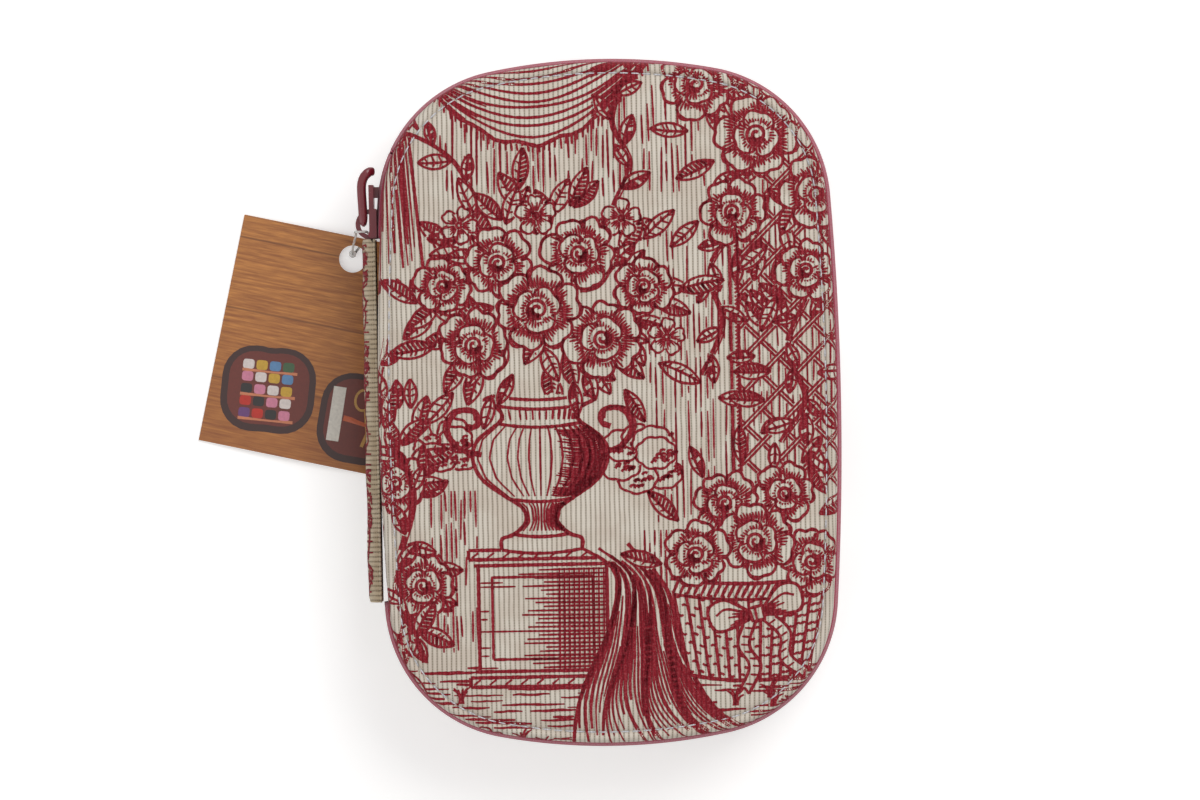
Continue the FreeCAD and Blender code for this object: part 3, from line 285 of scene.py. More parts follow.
class Cover:
    """One half's printed cover: where each point of the flat cloth lies on it."""

    def __init__(self, side):
        self.is_lid = side == "lid"
        self.line = cover_line(lid_depth if self.is_lid else base_depth)
        run = run_along(self.line)
        self.crease = int(np.argmin(np.hypot(self.line[:, 0] - crease_inside, self.line[:, 1] - 2.95 * mm)))
        self.beyond = run[self.crease] - run

    def level(self, drop):
        return lid_face - drop if self.is_lid else drop

    def unrolled(self, points, normals, step):
        """Flat-cloth place of a ring of the section."""
        if step < self.crease:
            return points - normals * (crease_inside - self.beyond[step])
        return points - normals * self.line[step, 0]

    def lay(self, plan, lift):
        """Flat-cloth points laid on the cover and lifted a little off it, and which
        of them still lie on it."""
        normals, inside = rim_near(plan)
        over = crease_inside - inside
        outer = over > 0
        turned = self.line[:self.crease + 1][::-1]
        run = self.beyond[:self.crease + 1][::-1]
        face = self.line[self.crease:]
        reach = np.where(outer, np.interp(over, run, turned[:, 0]), inside)
        drop = np.where(outer, np.interp(over, run, turned[:, 1]),
            np.interp(inside, face[:, 0], face[:, 1]))
        tip = over + 0.1 * mm
        next_reach = np.where(outer, np.interp(tip, run, turned[:, 0]), inside - 0.1 * mm)
        next_drop = np.where(
            outer, np.interp(tip, run, turned[:, 1]), np.interp(inside - 0.1 * mm, face[:, 0], face[:, 1]))
        along = np.stack([reach - next_reach, drop - next_drop], 1)
        along /= np.maximum(np.linalg.norm(along, axis=1), 1e-9)[:, None]
        soft = np.clip((inside - 4 * mm) / (8 * mm), 0, 1) * cloth_sway(plan)
        place = plan + normals * (inside - reach)[:, None] - normals * (along[:, 1] * lift)[:, None]
        level = self.level(drop - soft - along[:, 0] * lift)
        on_cloth = over < run[-1] - 0.6 * mm
        return np.concatenate([place, level[:, None]], 1), on_cloth


def lay_cloth_map(piece, flat):
    """Stores where each point lies on the flat cloth, so that ribs and print run on over edges."""
    layer = piece.data.uv_layers.new(name="cloth")
    corners = np.zeros(len(piece.data.loops), int)
    piece.data.loops.foreach_get("vertex_index", corners)
    layer.data.foreach_set("uv", (flat[corners] / mm).ravel())


def make_cover(side):
    cover = Cover(side)
    rim, normals = rim_walk(1.0 * mm)
    around = len(rim)
    points, flat = [], []
    for step, (inside, drop) in enumerate(cover.line):
        plan = rim - normals * inside
        soft = min(1, max(0, (inside - 4 * mm) / (8 * mm))) * cloth_sway(plan)
        level = cover.level(drop - soft)
        points.append(np.column_stack([plan, np.broadcast_to(level, around)]))
        flat.append(cover.unrolled(rim, normals, step))
    middle = rim - normals * cover.line[-1, 0]
    shrink = 12
    for step in range(1, shrink):
        plan = middle * (1 - step / shrink)
        points.append(np.column_stack([plan, cover.level(cover.line[-1, 1] - cloth_sway(plan))]))
        flat.append(plan)
    faces = ring_faces(len(points), around, flip=not cover.is_lid)
    points, flat = np.concatenate(points), np.concatenate(flat)
    heart = len(points)
    hub = np.zeros((1, 2))
    points = np.concatenate([points, [[0, 0, cover.level(cover.line[-1, 1] - cloth_sway(hub)[0])]]])
    flat = np.concatenate([flat, hub])
    for step in range(around):
        face = (heart - around + step, heart - around + (step + 1) % around, heart)
        faces.append(face if cover.is_lid else face[::-1])
    piece = new_piece(side + "_printed_cover", points, faces)
    lay_cloth_map(piece, flat)
    return cover, piece


def cloth_ribs(tree):
    """Height of the cords in the cotton, the valleys between them and the weft dots in the valleys."""
    place, split = cloth_place(tree)
    wander = sum_of(tree, "MULTIPLY_ADD", speckle_of(tree, 0.09, 2.0, place), 0.5, -0.25)
    across = sum_of(tree, "DIVIDE", sum_of(tree, "ADD", split.outputs[0], wander), rib_pitch / mm)
    swing = sum_of(tree, "PINGPONG", across, 0.5)
    crest = band_of(tree, swing, 0.02, 0.3)
    valley = band_of(tree, swing, 0.17, 0.03)
    ladder = sum_of(tree, "PINGPONG", sum_of(tree, "DIVIDE", split.outputs[1], dot_pitch / mm), 0.5)
    dots = times(tree, band_of(tree, ladder, 0.12, 0.34), valley)
    return place, crest, valley, dots


def cotton_finish(name, cord, shade, valley_shade, strength=1.0):
    """Corded cotton: pale rounded cords, painted shade in the valleys and on the weft dots at the
    crossings, faint soiling.
    """
    material, tree, shader = new_finish(name, 0.85, Sheen_Weight=0.15, Specular_IOR_Level=0.25)
    place, crest, valley, dots = cloth_ribs(tree)
    cloud = band_of(tree, speckle_of(tree, 0.11, 4.0, place), 0.35, 0.65)
    fibre = speckle_of(tree, 3.1, 2.0, place)
    colour = blend_of(tree, cloud, cord, shade)
    # Painted shade: the valleys between the cords and the weft dots in them are darkened towards the last
    # colour given.
    colour = blend_of(tree, times(tree, valley, 0.45 * strength), colour, valley_shade)
    colour = blend_of(tree, times(tree, dots, 0.75 * strength), colour, valley_shade)
    colour = blend_of(tree, times(tree, fibre, 0.16), colour, (1, 1, 1, 1), "SOFT_LIGHT")
    colour_with(tree, shader, colour)
    height = sum_of(tree, "SUBTRACT", crest, times(tree, dots, 0.5))
    height = sum_of(tree, "ADD", height, times(tree, fibre, 0.22))
    relief(tree, shader, height, 0.22 * mm, 0.8)
    return material


def hand_over(piece, material, body, slot, *nodes):
    """Gives a piece its finish and its body, and hides the solids that it stands for; its slot is not used.
    """
    piece.data.materials.append(material)
    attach(piece, body)
    if nodes:
        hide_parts(*nodes)


# The last colour is the painted shade of the valleys between the cords.
printed_cotton = cotton_finish("corded_cotton", tint(214, 205, 192), tint(203, 190, 176),
    tint(134, 118, 98))
covers = {}
for side in ("lid", "base"):
    covers[side], piece = make_cover(side)
    hand_over(piece, printed_cotton, side, "printed_corduroy", side + "_cover")


# Print of the covers: a garden scene in one red, engraved in fine strokes. It is drawn on the flat cloth
# and laid on the cover as thin ribbons of ink; what stands in front hides the strokes behind it.

print_reach = (72 * mm, 98 * mm)
mask_step = 0.25 * mm
stroke_step = 0.55 * mm
stroke_swell = 1.38


class Engraving:
    """Ink strokes on the flat cloth, in millimetres, drawn from front to back."""

    def __init__(self, seed):
        self.dice = random.Random(seed)
        self.runs = []
        self.wide, self.tall = (round(reach / mask_step) for reach in print_reach)
        self.taken = np.zeros((2 * self.wide, 2 * self.tall), bool)

    def cells(self, points):
        grid = np.floor(points * mm / mask_step).astype(int) + (self.wide, self.tall)
        return np.clip(grid, 0, (2 * self.wide - 1, 2 * self.tall - 1))

    def ink(self, points, width, taper=0.0):
        """One stroke, cut where something in front hides it; its ends thin out by the taper."""
        points = np.array(points, float)
        run = run_along(points)
        length = run[-1]
        if length < 0.3:
            return
        count = max(2, round(length * mm / stroke_step) + 1)
        at = np.linspace(0, length, count)
        points = np.column_stack([np.interp(at, run, points[:, 0]), np.interp(at, run, points[:, 1])])
        share = np.linspace(0, 1, count)
        widths = stroke_swell * width * (1 - taper
            + taper * np.sin(math.pi * np.clip(share, 0.04, 0.96)) ** 0.6)
        widths = widths * np.array([self.dice.uniform(0.82, 1.15) for point in points])
        cells = self.cells(points)
        shown = ~self.taken[cells[:, 0], cells[:, 1]]
        start = 0
        while start < count:
            if not shown[start]:
                start += 1
                continue
            stop = start
            while stop < count and shown[stop]:
                stop += 1
            if stop - start > 1:
                self.runs.append((points[start:stop], widths[start:stop]))
            start = stop

    def cover_up(self, outline):
        """Marks a closed outline as taken, so that nothing drawn later shows inside it."""
        outline = np.array(outline, float) * mm / mask_step + (self.wide, self.tall)
        low = np.clip(np.floor(outline.min(0)).astype(int), 0, (2 * self.wide, 2 * self.tall))
        high = np.clip(np.ceil(outline.max(0)).astype(int) + 1, 0, (2 * self.wide, 2 * self.tall))
        if (high <= low).any():
            return
        across, up = np.meshgrid(np.arange(low[0], high[0]) + 0.5, np.arange(low[1], high[1]) + 0.5,
            indexing="ij")
        within = np.zeros(across.shape, bool)
        for (x0, y0), (x1, y1) in zip(outline, np.roll(outline, -1, axis=0)):
            if y0 != y1:
                crosses = (y0 > up) != (y1 > up)
                within ^= crosses & (across < (x1 - x0) * (up - y0) / (y1 - y0) + x0)
        self.taken[low[0]:high[0], low[1]:high[1]] |= within


def turned(points, angle, x=0.0, y=0.0, size=1.0):
    """Points turned by an angle, scaled and moved."""
    c, s = math.cos(angle) * size, math.sin(angle) * size
    return [(x + px * c - py * s, y + px * s + py * c) for px, py in points]


def bowed(start, end, bow, count=9):
    """A shallow curve between two points; the bow is its height as a share of its length."""
    (x0, y0), (x1, y1) = start, end
    points = []
    for step in range(count):
        t = step / (count - 1)
        lift = 4 * bow * t * (1 - t)
        points.append((x0 + (x1 - x0) * t - (y1 - y0) * lift, y0 + (y1 - y0) * t + (x1 - x0) * lift))
    return points


def through(knots, count=10):
    """A smooth line through a few points."""
    knots = [np.array(knot, float) for knot in knots]
    knots = [2 * knots[0] - knots[1]] + knots + [2 * knots[-1] - knots[-2]]
    line = []
    for before, here, there, after in zip(knots, knots[1:], knots[2:], knots[3:]):
        for step in range(count):
            t = step / count
            line.append(curve_point(before, here, there, after, t))
    line.append(knots[-2])
    return line


def draw_petal(art, x, y, angle, near, far, spread, line=0.5):
    """One petal of a rose: a wavy edge, hatched up from its foot."""
    edge = []
    notch = art.dice.uniform(0.05, 0.14)
    for step in range(13):
        share = step / 12
        swing = (share - 0.5) * 2
        reach = far * (1 - 0.42 * abs(swing) ** 2.6 - notch * math.exp(-(swing / 0.22) ** 2))
        reach *= 1 + 0.03 * math.sin(9 * share + angle)
        turn = angle + swing * spread
        edge.append((x + reach * math.cos(turn), y + reach * math.sin(turn)))
    foot = [(x + near * math.cos(angle + swing * spread * 0.8),
        y + near * math.sin(angle + swing * spread * 0.8)) for swing in (0.9, 0.45, 0, -0.45, -0.9)]
    art.ink(edge, line, 0.15)
    art.ink(bowed(edge[2], edge[6], -0.16), line * 0.75, 0.5)
    hatches = max(5, round((near + far) * spread / 0.85))
    for step in range(hatches):
        swing = (step + 0.5) / hatches * 2 - 1
        turn = angle + swing * spread * 0.88
        depth = 0.3 + 0.34 * abs(swing) + art.dice.uniform(-0.08, 0.14)
        top = near + (far - near) * depth
        low = (x + near * 0.96 * math.cos(turn), y + near * 0.96 * math.sin(turn))
        high = (x + top * math.cos(turn + 0.05), y + top * math.sin(turn + 0.05))
        art.ink(bowed(low, high, 0.05 * swing, 5), line * 0.85, 0.7)
    art.cover_up(edge + foot)


def draw_rose(art, x, y, size, angle=0.0):
    """An open rose: a tight hatched heart, three cupped petals and an outer ring of five."""
    heart = []
    for step in range(26):
        turn = angle + step * 0.42
        reach = size * (0.05 + 0.0085 * step)
        heart.append((x + reach * math.cos(turn), y + reach * math.sin(turn)))
    art.ink(heart, 0.6)
    for step in range(11):
        turn = angle + 2.6 + step * 0.2
        art.ink([(x + size * 0.08 * math.cos(turn), y + size * 0.08 * math.sin(turn)),
            (x + size * 0.24 * math.cos(turn + 0.2), y + size * 0.24 * math.sin(turn + 0.2))], 0.5, 0.4)
    art.cover_up([(x + size * 0.26 * math.cos(step), y + size * 0.26 * math.sin(step))
        for step in range(7)])
    for petal in range(3):
        turn = angle + 0.5 + petal * 2.1
        draw_petal(art, x, y, turn, size * 0.24, size * 0.56, 1.15)
    for petal in range(6):
        turn = angle + petal * 1.047 + art.dice.uniform(-0.1, 0.1)
        draw_petal(art, x, y, turn, size * 0.5, size * art.dice.uniform(0.9, 1.06), 0.66, 0.55)


def draw_leaf(art, x, y, length, angle, plump=0.36, dark=True):
    """A leaf: two bowed edges, a midrib, one dark hatched side and one veined side."""
    tip = (length, length * art.dice.uniform(-0.08, 0.08))
    upper, lower = bowed((0, 0), tip, plump * 0.5, 11), bowed((0, 0), tip, -plump * 0.5, 11)
    rib = bowed((0, 0), tip, 0.03, 11)
    for line, width in ((upper, 0.45), (lower, 0.5), (rib, 0.5)):
        art.ink(turned(line, angle, x, y), width, 0.2)
    veins = max(5, round(length / 0.85))
    for step in range(1, veins):
        share = step / veins
        spot = min(9, max(1, round(share * 10)))
        start = rib[spot]
        side = lower[min(10, spot + 1)]
        reach = (start[0] + (side[0] - start[0]) * 0.95, start[1] + (side[1] - start[1]) * 0.95)
        if dark or step % 2:
            art.ink(turned([start, reach], angle, x, y), 0.55 if dark else 0.35, 0.3)
        if step % 2:
            side = upper[min(10, spot + 1)]
            reach = (start[0] + (side[0] - start[0]) * 0.7, start[1] + (side[1] - start[1]) * 0.7)
            art.ink(turned([start, reach], angle, x, y), 0.38, 0.5)
    art.cover_up(turned(upper + lower[::-1], angle, x, y))


def draw_bud(art, x, y, size, angle):
    """A closed bud with its calyx."""
    side = bowed((0, 0), (size, 0), 0.3, 9)
    other = bowed((0, 0), (size, 0), -0.3, 9)
    for line in (side, other, bowed((size * 0.1, size * 0.1), (size, 0), 0.1, 7)):
        art.ink(turned(line, angle, x, y), 0.5)
    for step in range(6):
        start = (size * 0.08, size * (0.14 - 0.05 * step))
        art.ink(turned([start, (size * (0.45 + 0.06 * (step % 3)), start[1] * 1.3)], angle, x, y), 0.5, 0.4)
    art.cover_up(turned(side + other[::-1], angle, x, y))
    for turn in (0.9, -0.9):
        art.ink(turned(bowed((0, 0), (size * 0.55 * math.cos(turn), size * 0.55 * math.sin(turn)),
            -0.2 * turn), angle, x, y), 0.7, 0.5)


def draw_stem(art, knots, width=0.8, leaves=3, leaf=6.0):
    """A twig with leaves to both sides; the leaves stand in front of it."""
    line = through(knots)
    for step in range(leaves):
        spot = round((step + 0.7) / (leaves + 0.4) * (len(line) - 2))
        (x, y), (x2, y2) = line[spot], line[spot + 1]
        way = math.atan2(y2 - y, x2 - x)
        side = 1 if step % 2 else -1
        turn = way + side * art.dice.uniform(0.55, 1.0)
        draw_leaf(art, x, y, leaf * art.dice.uniform(0.8, 1.2), turn, 0.42, dark=step % 3 != 1)
    art.ink(line, width, 0.25)
    offset = [(px + 0.75, py - 0.2) for px, py in line]
    art.ink(offset, 0.3)


def draw_blossom(art, x, y, size, angle=0.0):
    """A small five-petalled flower."""
    art.ink([(x + size * 0.14 * math.cos(step * 0.9), y + size * 0.14 * math.sin(step * 0.9))
        for step in range(8)], 0.55)
    for petal in range(5):
        turn = angle + petal * 1.2566
        draw_petal(art, x, y, turn, size * 0.22, size, 0.56, 0.42)


def draw_urn(art, x, y, height):
    """A gadrooned urn on its foot, dark to the right."""
    section = [(0.30, 1.0), (0.36, 0.97), (0.27, 0.92), (0.25, 0.84), (0.40, 0.72), (0.44, 0.60),
        (0.38, 0.46), (0.22, 0.34), (0.12, 0.27), (0.10, 0.18), (0.18, 0.10), (0.26, 0.07), (0.26, 0.0)]
    right = [(x + px * height, y + py * height) for px, py in through(section, 4)]
    left = [(2 * x - px, py) for px, py in right]
    for line in (right, left):
        art.ink(line, 0.7)
    for level in (1.0, 0.94, 0.82, 0.33, 0.1, 0.0):
        half = float(np.interp(-level, [-py for px, py in section], [px for px, py in section])) * height
        art.ink(bowed((x - half, y + level * height), (x + half, y + level * height), -0.05, 9), 0.6)
    for step in range(-8, 9):
        share = step / 8.5
        for low, high in ((0.345, 0.80), (0.12, 0.30), (0.84, 0.91)):
            line = []
            for level in np.linspace(low, high, 12):
                half = float(np.interp(-level, [-py for px, py in section],
                    [px for px, py in section])) * height
                line.append((x + math.sin(share * 1.45) * half, y + level * height))
            if step > -3 or step % 2:
                art.ink(line, 0.36 + 0.05 * max(0, step), 0.35)
    for step in range(34):
        level = 0.35 + 0.44 * step / 34
        half = float(np.interp(-level, [-py for px, py in section], [px for px, py in section])) * height
        start = x + half * art.dice.uniform(0.25, 0.45)
        art.ink(bowed((start, y + level * height), (x + half * 0.97, y + level * height + 0.3), -0.06, 6),
            0.4, 0.6)
    for side in (-1, 1):
        curl = [(0.38, 0.62), (0.52, 0.66), (0.60, 0.78), (0.54, 0.90), (0.42, 0.90), (0.40, 0.82),
            (0.46, 0.79)]
        handle = [(x + side * px * height, y + py * height) for px, py in through(curl, 5)]
        art.ink(handle, 1.0)
        art.ink([(px + side * 0.9, py + 0.3) for px, py in handle[:-6]], 0.35)
    art.cover_up(right + left[::-1])


def draw_block(art, x, y, width, height, shaded=0.45):
    """A stone plinth: mouldings, a sunk panel, and hatching that darkens to the right."""
    half = width / 2
    for level, extra in ((0, 2.2), (2.2, 2.2), (3.6, 1.0), (height - 3.6, 1.0), (height - 2.2, 2.2),
            (height, 2.2)):
        art.ink([(x - half - extra, y + level), (x + half + extra, y + level)], 0.65)
    for side in (-1, 1):
        art.ink([(x + side * half, y + 3.6), (x + side * half, y + height - 3.6)], 0.65)
        for low, high in ((0, 2.2), (height - 2.2, height)):
            art.ink([(x + side * (half + 2.2), y + low), (x + side * (half + 2.2), y + high)], 0.65)
    inner = half - 3.2
    panel = [(x - inner, y + 6.4), (x + inner, y + 6.4), (x + inner, y + height - 6.4),
        (x - inner, y + height - 6.4)]
    art.ink(panel + panel[:1], 0.5)
    level = y + 4.4
    while level < y + height - 4:
        start = x - half + width * (1 - shaded) * art.dice.uniform(0.55, 1.0)
        art.ink([(start, level), (x + half - 0.3, level + art.dice.uniform(-0.2, 0.2))], 0.42, 0.4)
        if art.dice.random() < 0.5:
            art.ink([(x - half + 0.4, level), (x - half + art.dice.uniform(1.5, width * 0.35), level)],
                0.36, 0.5)
        level += 0.95
    across = x + half * 0.25
    while across < x + half - 0.6:
        art.ink([(across, y + 4), (across + 0.2, y + height - 4.4)], 0.36, 0.2)
        across += 1.15
    for step in range(9):
        start = x - half - 1.5 + step * (width + 3) / 9
        for low in (0.5, height - 1.8):
            art.ink([(start, y + low), (start + 1.6, y + low + 1.2)], 0.36)
    art.cover_up([(x - half - 2.2, y), (x + half + 2.2, y), (x + half + 2.2, y + 2.4), (x + half, y + 3.6),
        (x + half, y + height - 3.6), (x + half + 2.2, y + height), (x - half - 2.2, y + height),
        (x - half, y + height - 3.6), (x - half, y + 3.6)])


def draw_basket(art, x, y, width, height):
    """A wicker basket with a plaited rim, seen a little from above."""
    def place(across, up):
        flare = 0.5 * (0.78 + 0.22 * up)
        return (x + width * across * flare, y + height * up - 1.6 * (1 - across * across))
    for step in range(13):
        across = step / 6 - 1
        art.ink([place(across, 0), place(across, 0.9)], 0.55)
    rows = 9
    for row in range(rows):
        up = (row + 0.5) / rows * 0.9
        for step in range(24):
            across = step / 12 - 1
            bow = 0.02 if (row + step // 2) % 2 else -0.02
            if step % 2 == row % 2 or across > 0.2:
                art.ink([place(across, up), place(across + 0.04, up + bow), place(across + 1 / 12, up)],
                    0.5, 0.3)
    for step in range(22):
        across = step / 11 - 1
        art.ink([place(across, 0.88), place(across + 0.1, 1.02)], 0.6, 0.3)
    rim = [place(step / 8 - 1, 1.03) for step in range(17)]
    foot = [place(step / 8 - 1, 0) for step in range(17)]
    art.ink(rim, 0.7)
    art.ink(foot, 0.7)
    art.ink([place(step / 8 - 1, 0.86) for step in range(17)], 0.55)
    art.cover_up(rim + foot[::-1])


def draw_bow(art, x, y, size, angle=0.0):
    """A ribbon bow: knot, two loops and two fluttering tails."""
    knot = [(-1.3, -1.5), (1.3, -1.5), (1.5, 1.5), (-1.5, 1.5)]
    knot = turned(knot, angle, x, y, size / 10)
    art.ink(knot + knot[:1], 0.6)
    art.ink(turned([(-0.4, -1.4), (-0.2, 1.4)], angle, x, y, size / 10), 0.5)
    art.cover_up(knot)
    for side in (-1, 1):
        loop = through([(side * 1.2, 0.6), (side * 6, 4.6), (side * 10, 3.4), (side * 9, -1.6),
            (side * 1.2, -0.6)], 5)
        art.ink(turned(loop, angle, x, y, size / 10), 0.6)
        inner = through([(side * 1.2, 0.2), (side * 6, 2.6), (side * 8.6, 1.8)], 5)
        art.ink(turned(inner, angle, x, y, size / 10), 0.45)
        for step in range(7):
            start = (side * 1.6, 0.6 - step * 0.18)
            art.ink(turned([start, (side * (4.2 + step % 3), start[1] * 3.2)], angle, x, y, size / 10),
                0.45, 0.6)
        art.cover_up(turned(loop, angle, x, y, size / 10))
        tail = through([(side * 0.6, -1.2), (side * 3.4, -6), (side * 2.2, -11), (side * 6.2, -16)], 6)
        other = [(px + side * 2.4, py + 0.6) for px, py in tail]
        for line in (tail, other):
            art.ink(turned(line, angle, x, y, size / 10), 0.55)
        art.ink(turned([tail[-1], (tail[-1][0] + side * 0.6, tail[-1][1] + 1.6), other[-1]], angle, x, y,
            size / 10), 0.5)
        for step in range(2, len(tail) - 2, 2):
            art.ink(turned([tail[step], (tail[step][0] * 0.3 + other[step][0] * 0.7, other[step][1])],
                angle, x, y, size / 10), 0.4, 0.4)
        art.cover_up(turned(tail + other[::-1], angle, x, y, size / 10))


def draw_swag(art, start, end, sag, depth, folds=11):
    """A cloth swag hung between two points: its folds fan out from both ends; a fringe hangs below."""
    def place(along, down):
        x = start[0] + (end[0] - start[0]) * along
        y = start[1] + (end[1] - start[1]) * along
        droop = 4 * along * (1 - along)
        return (x, y - droop * (sag + depth * down) - depth * 0.12 * down)
    top = [place(step / 24, 0) for step in range(25)]
    hem = [place(step / 24, 1 + 0.03 * math.sin(step * 1.7)) for step in range(25)]
    art.ink(top, 0.7)
    art.ink(hem, 0.7)
    for fold in range(1, folds):
        down = (fold / folds) ** 1.1
        wave = art.dice.uniform(-0.03, 0.03)
        first, last = art.dice.uniform(0.0, 0.12), art.dice.uniform(0.88, 1.0)
        line = [place(first + (last - first) * step / 20, down + wave * math.sin(step * 0.5))
            for step in range(21)]
        art.ink(line, 0.5, 0.5)
        for shade in range(3):
            side = art.dice.choice((0.05, 0.7))
            reach = art.dice.uniform(0.12, 0.26)
            line = [place(side + reach * step / 8, down + 0.012 + 0.025 * shade) for step in range(9)]
            art.ink(line, 0.42, 0.6)
    for step in range(1, 48):
        x, y = place(step / 48, 1.0)
        art.ink([(x, y), (x + art.dice.uniform(-0.3, 0.3), y - art.dice.uniform(1.6, 2.6))], 0.42, 0.3)
    art.cover_up(top + hem[::-1])


def draw_fall(art, x, y, width, height, lean=0.0):
    """A length of cloth that hangs in long folds."""
    def place(across, down):
        swing = 0.06 * math.sin(across * 11 + 1) * (0.4 + down)
        return (x + (across - 0.5 + swing) * width * (0.55 + 0.45 * down) + lean * down, y - height * down)
    left = [place(0, step / 16) for step in range(17)]
    right = [place(1, step / 16) for step in range(17)]
    hem = [place(step / 16, 1 + 0.04 * math.sin(step * 2.1)) for step in range(17)]
    for line in (left, right, hem):
        art.ink(line, 0.6)
    folds = round(width / 1.05)
    for fold in range(1, folds):
        across = fold / folds
        first, last = art.dice.uniform(0, 0.3), art.dice.uniform(0.62, 1.0)
        dark = math.sin(fold * 1.9) > -0.2
        art.ink([place(across, first + (last - first) * step / 12) for step in range(13)],
            0.62 if dark else 0.36, 0.4)
    art.cover_up(left + hem + right[::-1])


def draw_ground(art, left, right, y, depth):
    """Uneven ground: broken level strokes that thicken towards the shadow, with tufts of grass."""
    for tuft in range(round((right - left) / 7)):
        x = art.dice.uniform(left, right)
        foot = y - art.dice.uniform(0.0, depth * 0.8)
        for blade in range(6):
            tip = (x + (blade - 2.5) * 0.9 + art.dice.uniform(-0.4, 0.4), foot + art.dice.uniform(2.2, 4.6))
            art.ink(bowed((x + (blade - 2.5) * 0.25, foot), tip, 0.1 * (blade - 2.5), 5), 0.45, 0.6)
    level = y
    while level > y - depth:
        x = left + art.dice.uniform(0, 4)
        while x < right:
            reach = art.dice.uniform(4, 15)
            if art.dice.random() < 0.74:
                roll = 0.7 * math.sin(x * 0.12 + level * 0.2)
                line = [(x + reach * step / 6, level + roll + art.dice.uniform(-0.12, 0.12))
                    for step in range(7)]
                art.ink(line, art.dice.uniform(0.34, 0.62), 0.6)
            x += reach + art.dice.uniform(0.6, 3.4)
        level -= art.dice.uniform(0.85, 1.5)


def draw_trellis(art, left, right, low, high, pitch=8.0):
    """A garden trellis: crossing laths between two posts, with light upright shading behind."""
    for x in (left, right):
        for side in (-0.9, 0.9):
            art.ink([(x + side, low), (x + side, high)], 0.6)
        level = low
        while level < high:
            art.ink([(x + 0.1, level), (x + 0.9, level + 0.5)], 0.4)
            level += 0.9
        art.cover_up([(x - 0.9, low), (x + 0.9, low), (x + 0.9, high), (x - 0.9, high)])
    width = right - left
    steps = int((high - low + width) / pitch) + 1
    for way in (1, -1):
        for step in range(steps):
            start = low - width + step * pitch
            ends = []
            for x, y in ((left, start), (right, start + width)):
                ends.append((x if way > 0 else left + right - x, y))
            (x0, y0), (x1, y1) = ends
            low_share = min(1.0, max(0.0, (low - y0) / width))
            high_share = min(1.0, max(0.0, (high - y0) / width))
            if high_share - low_share > 0.05:
                first = (x0 + (x1 - x0) * low_share, y0 + (y1 - y0) * low_share)
                last = (x0 + (x1 - x0) * high_share, y0 + (y1 - y0) * high_share)
                for side in (-0.55, 0.55):
                    art.ink([(first[0], first[1] + side), (last[0], last[1] + side)], 0.42)
                art.cover_up([(first[0], first[1] - 0.5), (last[0], last[1] - 0.5),
                    (last[0], last[1] + 0.5), (first[0], first[1] + 0.5)])


def draw_shade(art, left, right, low, high, pitch=1.2, width=0.4):
    """Open upright hatching, broken at random, for far foliage and shadow."""
    x = left
    while x < right:
        y = low + art.dice.uniform(0, 5)
        while y < high:
            reach = art.dice.uniform(4, 14)
            if art.dice.random() < 0.72:
                art.ink([(x, y), (x + art.dice.uniform(-0.3, 0.3), min(high, y + reach))], width, 0.5)
            y += reach + art.dice.uniform(0.5, 3.0)
        x += pitch * art.dice.uniform(0.8, 1.2)


def draw_tree(art, x, y, size):
    """A far tree: scalloped masses of leaves with dabs of shade."""
    for mass in range(7):
        turn = mass * 0.9
        cx = x + size * 0.5 * math.cos(turn) * (0.4 + 0.1 * mass)
        cy = y + size * 0.42 * math.sin(turn) * (0.4 + 0.1 * mass)
        reach = size * art.dice.uniform(0.22, 0.32)
        edge = []
        for step in range(33):
            angle = step / 32 * 2 * math.pi
            swell = reach * (1 + 0.12 * abs(math.sin(angle * 4 + mass)))
            edge.append((cx + swell * math.cos(angle), cy + swell * 0.8 * math.sin(angle)))
        art.ink(edge, 0.45)
        for dab in range(round(reach * 3)):
            angle, share = art.dice.uniform(-2.4, 0.6), art.dice.uniform(0.2, 0.92)
            px, py = cx + reach * share * math.cos(angle), cy + reach * 0.8 * share * math.sin(angle)
            art.ink(bowed((px, py), (px + 1.3, py + 0.4), 0.3, 4), 0.5)
        art.cover_up(edge)


def draw_foliage(art, x, y, wide, tall, count, leaf=8.5):
    """A mass of leaves that point outwards, some dark and some pale, over a ground of close hatching."""
    for index in range(count):
        turn = index * 2.39996 + art.dice.uniform(-0.3, 0.3)
        share = 1 - math.sqrt((index + 0.5) / count)
        reach = 0.25 + 0.75 * (1 - share)
        px, py = x + wide * reach * math.cos(turn), y + tall * reach * math.sin(turn)
        length = leaf * art.dice.uniform(0.75, 1.2)
        draw_leaf(art, px, py, length, turn + art.dice.uniform(-0.7, 0.7), 0.42, dark=index % 5 != 0)


def draw_drape(art, left, right, folds, dark=0.3):
    """A loose cloth between two flowing edges: long swept folds, closest where it turns under."""
    left, right = (np.array(through(edge, 8)) for edge in (left, right))
    art.ink(left, 0.7, 0.2)
    art.ink(right, 0.8, 0.2)
    for fold in range(1, folds):
        across = fold / folds
        roll = math.sin(fold * 0.95) + 0.5 * math.sin(fold * 0.37 + 1)
        first = art.dice.uniform(0.0, 0.3) if roll > dark else art.dice.uniform(0.2, 0.55)
        last = art.dice.uniform(0.72, 1.0)
        line = []
        for step in range(len(left)):
            share = step / (len(left) - 1)
            if first <= share <= last:
                bend = across + 0.035 * math.sin(share * 7 + fold * 0.5)
                line.append(left[step] + (right[step] - left[step]) * bend)
        if len(line) > 2:
            art.ink(line, 0.72 if roll > dark else 0.42, 0.5)
    art.cover_up(np.concatenate([left, right[::-1]]))


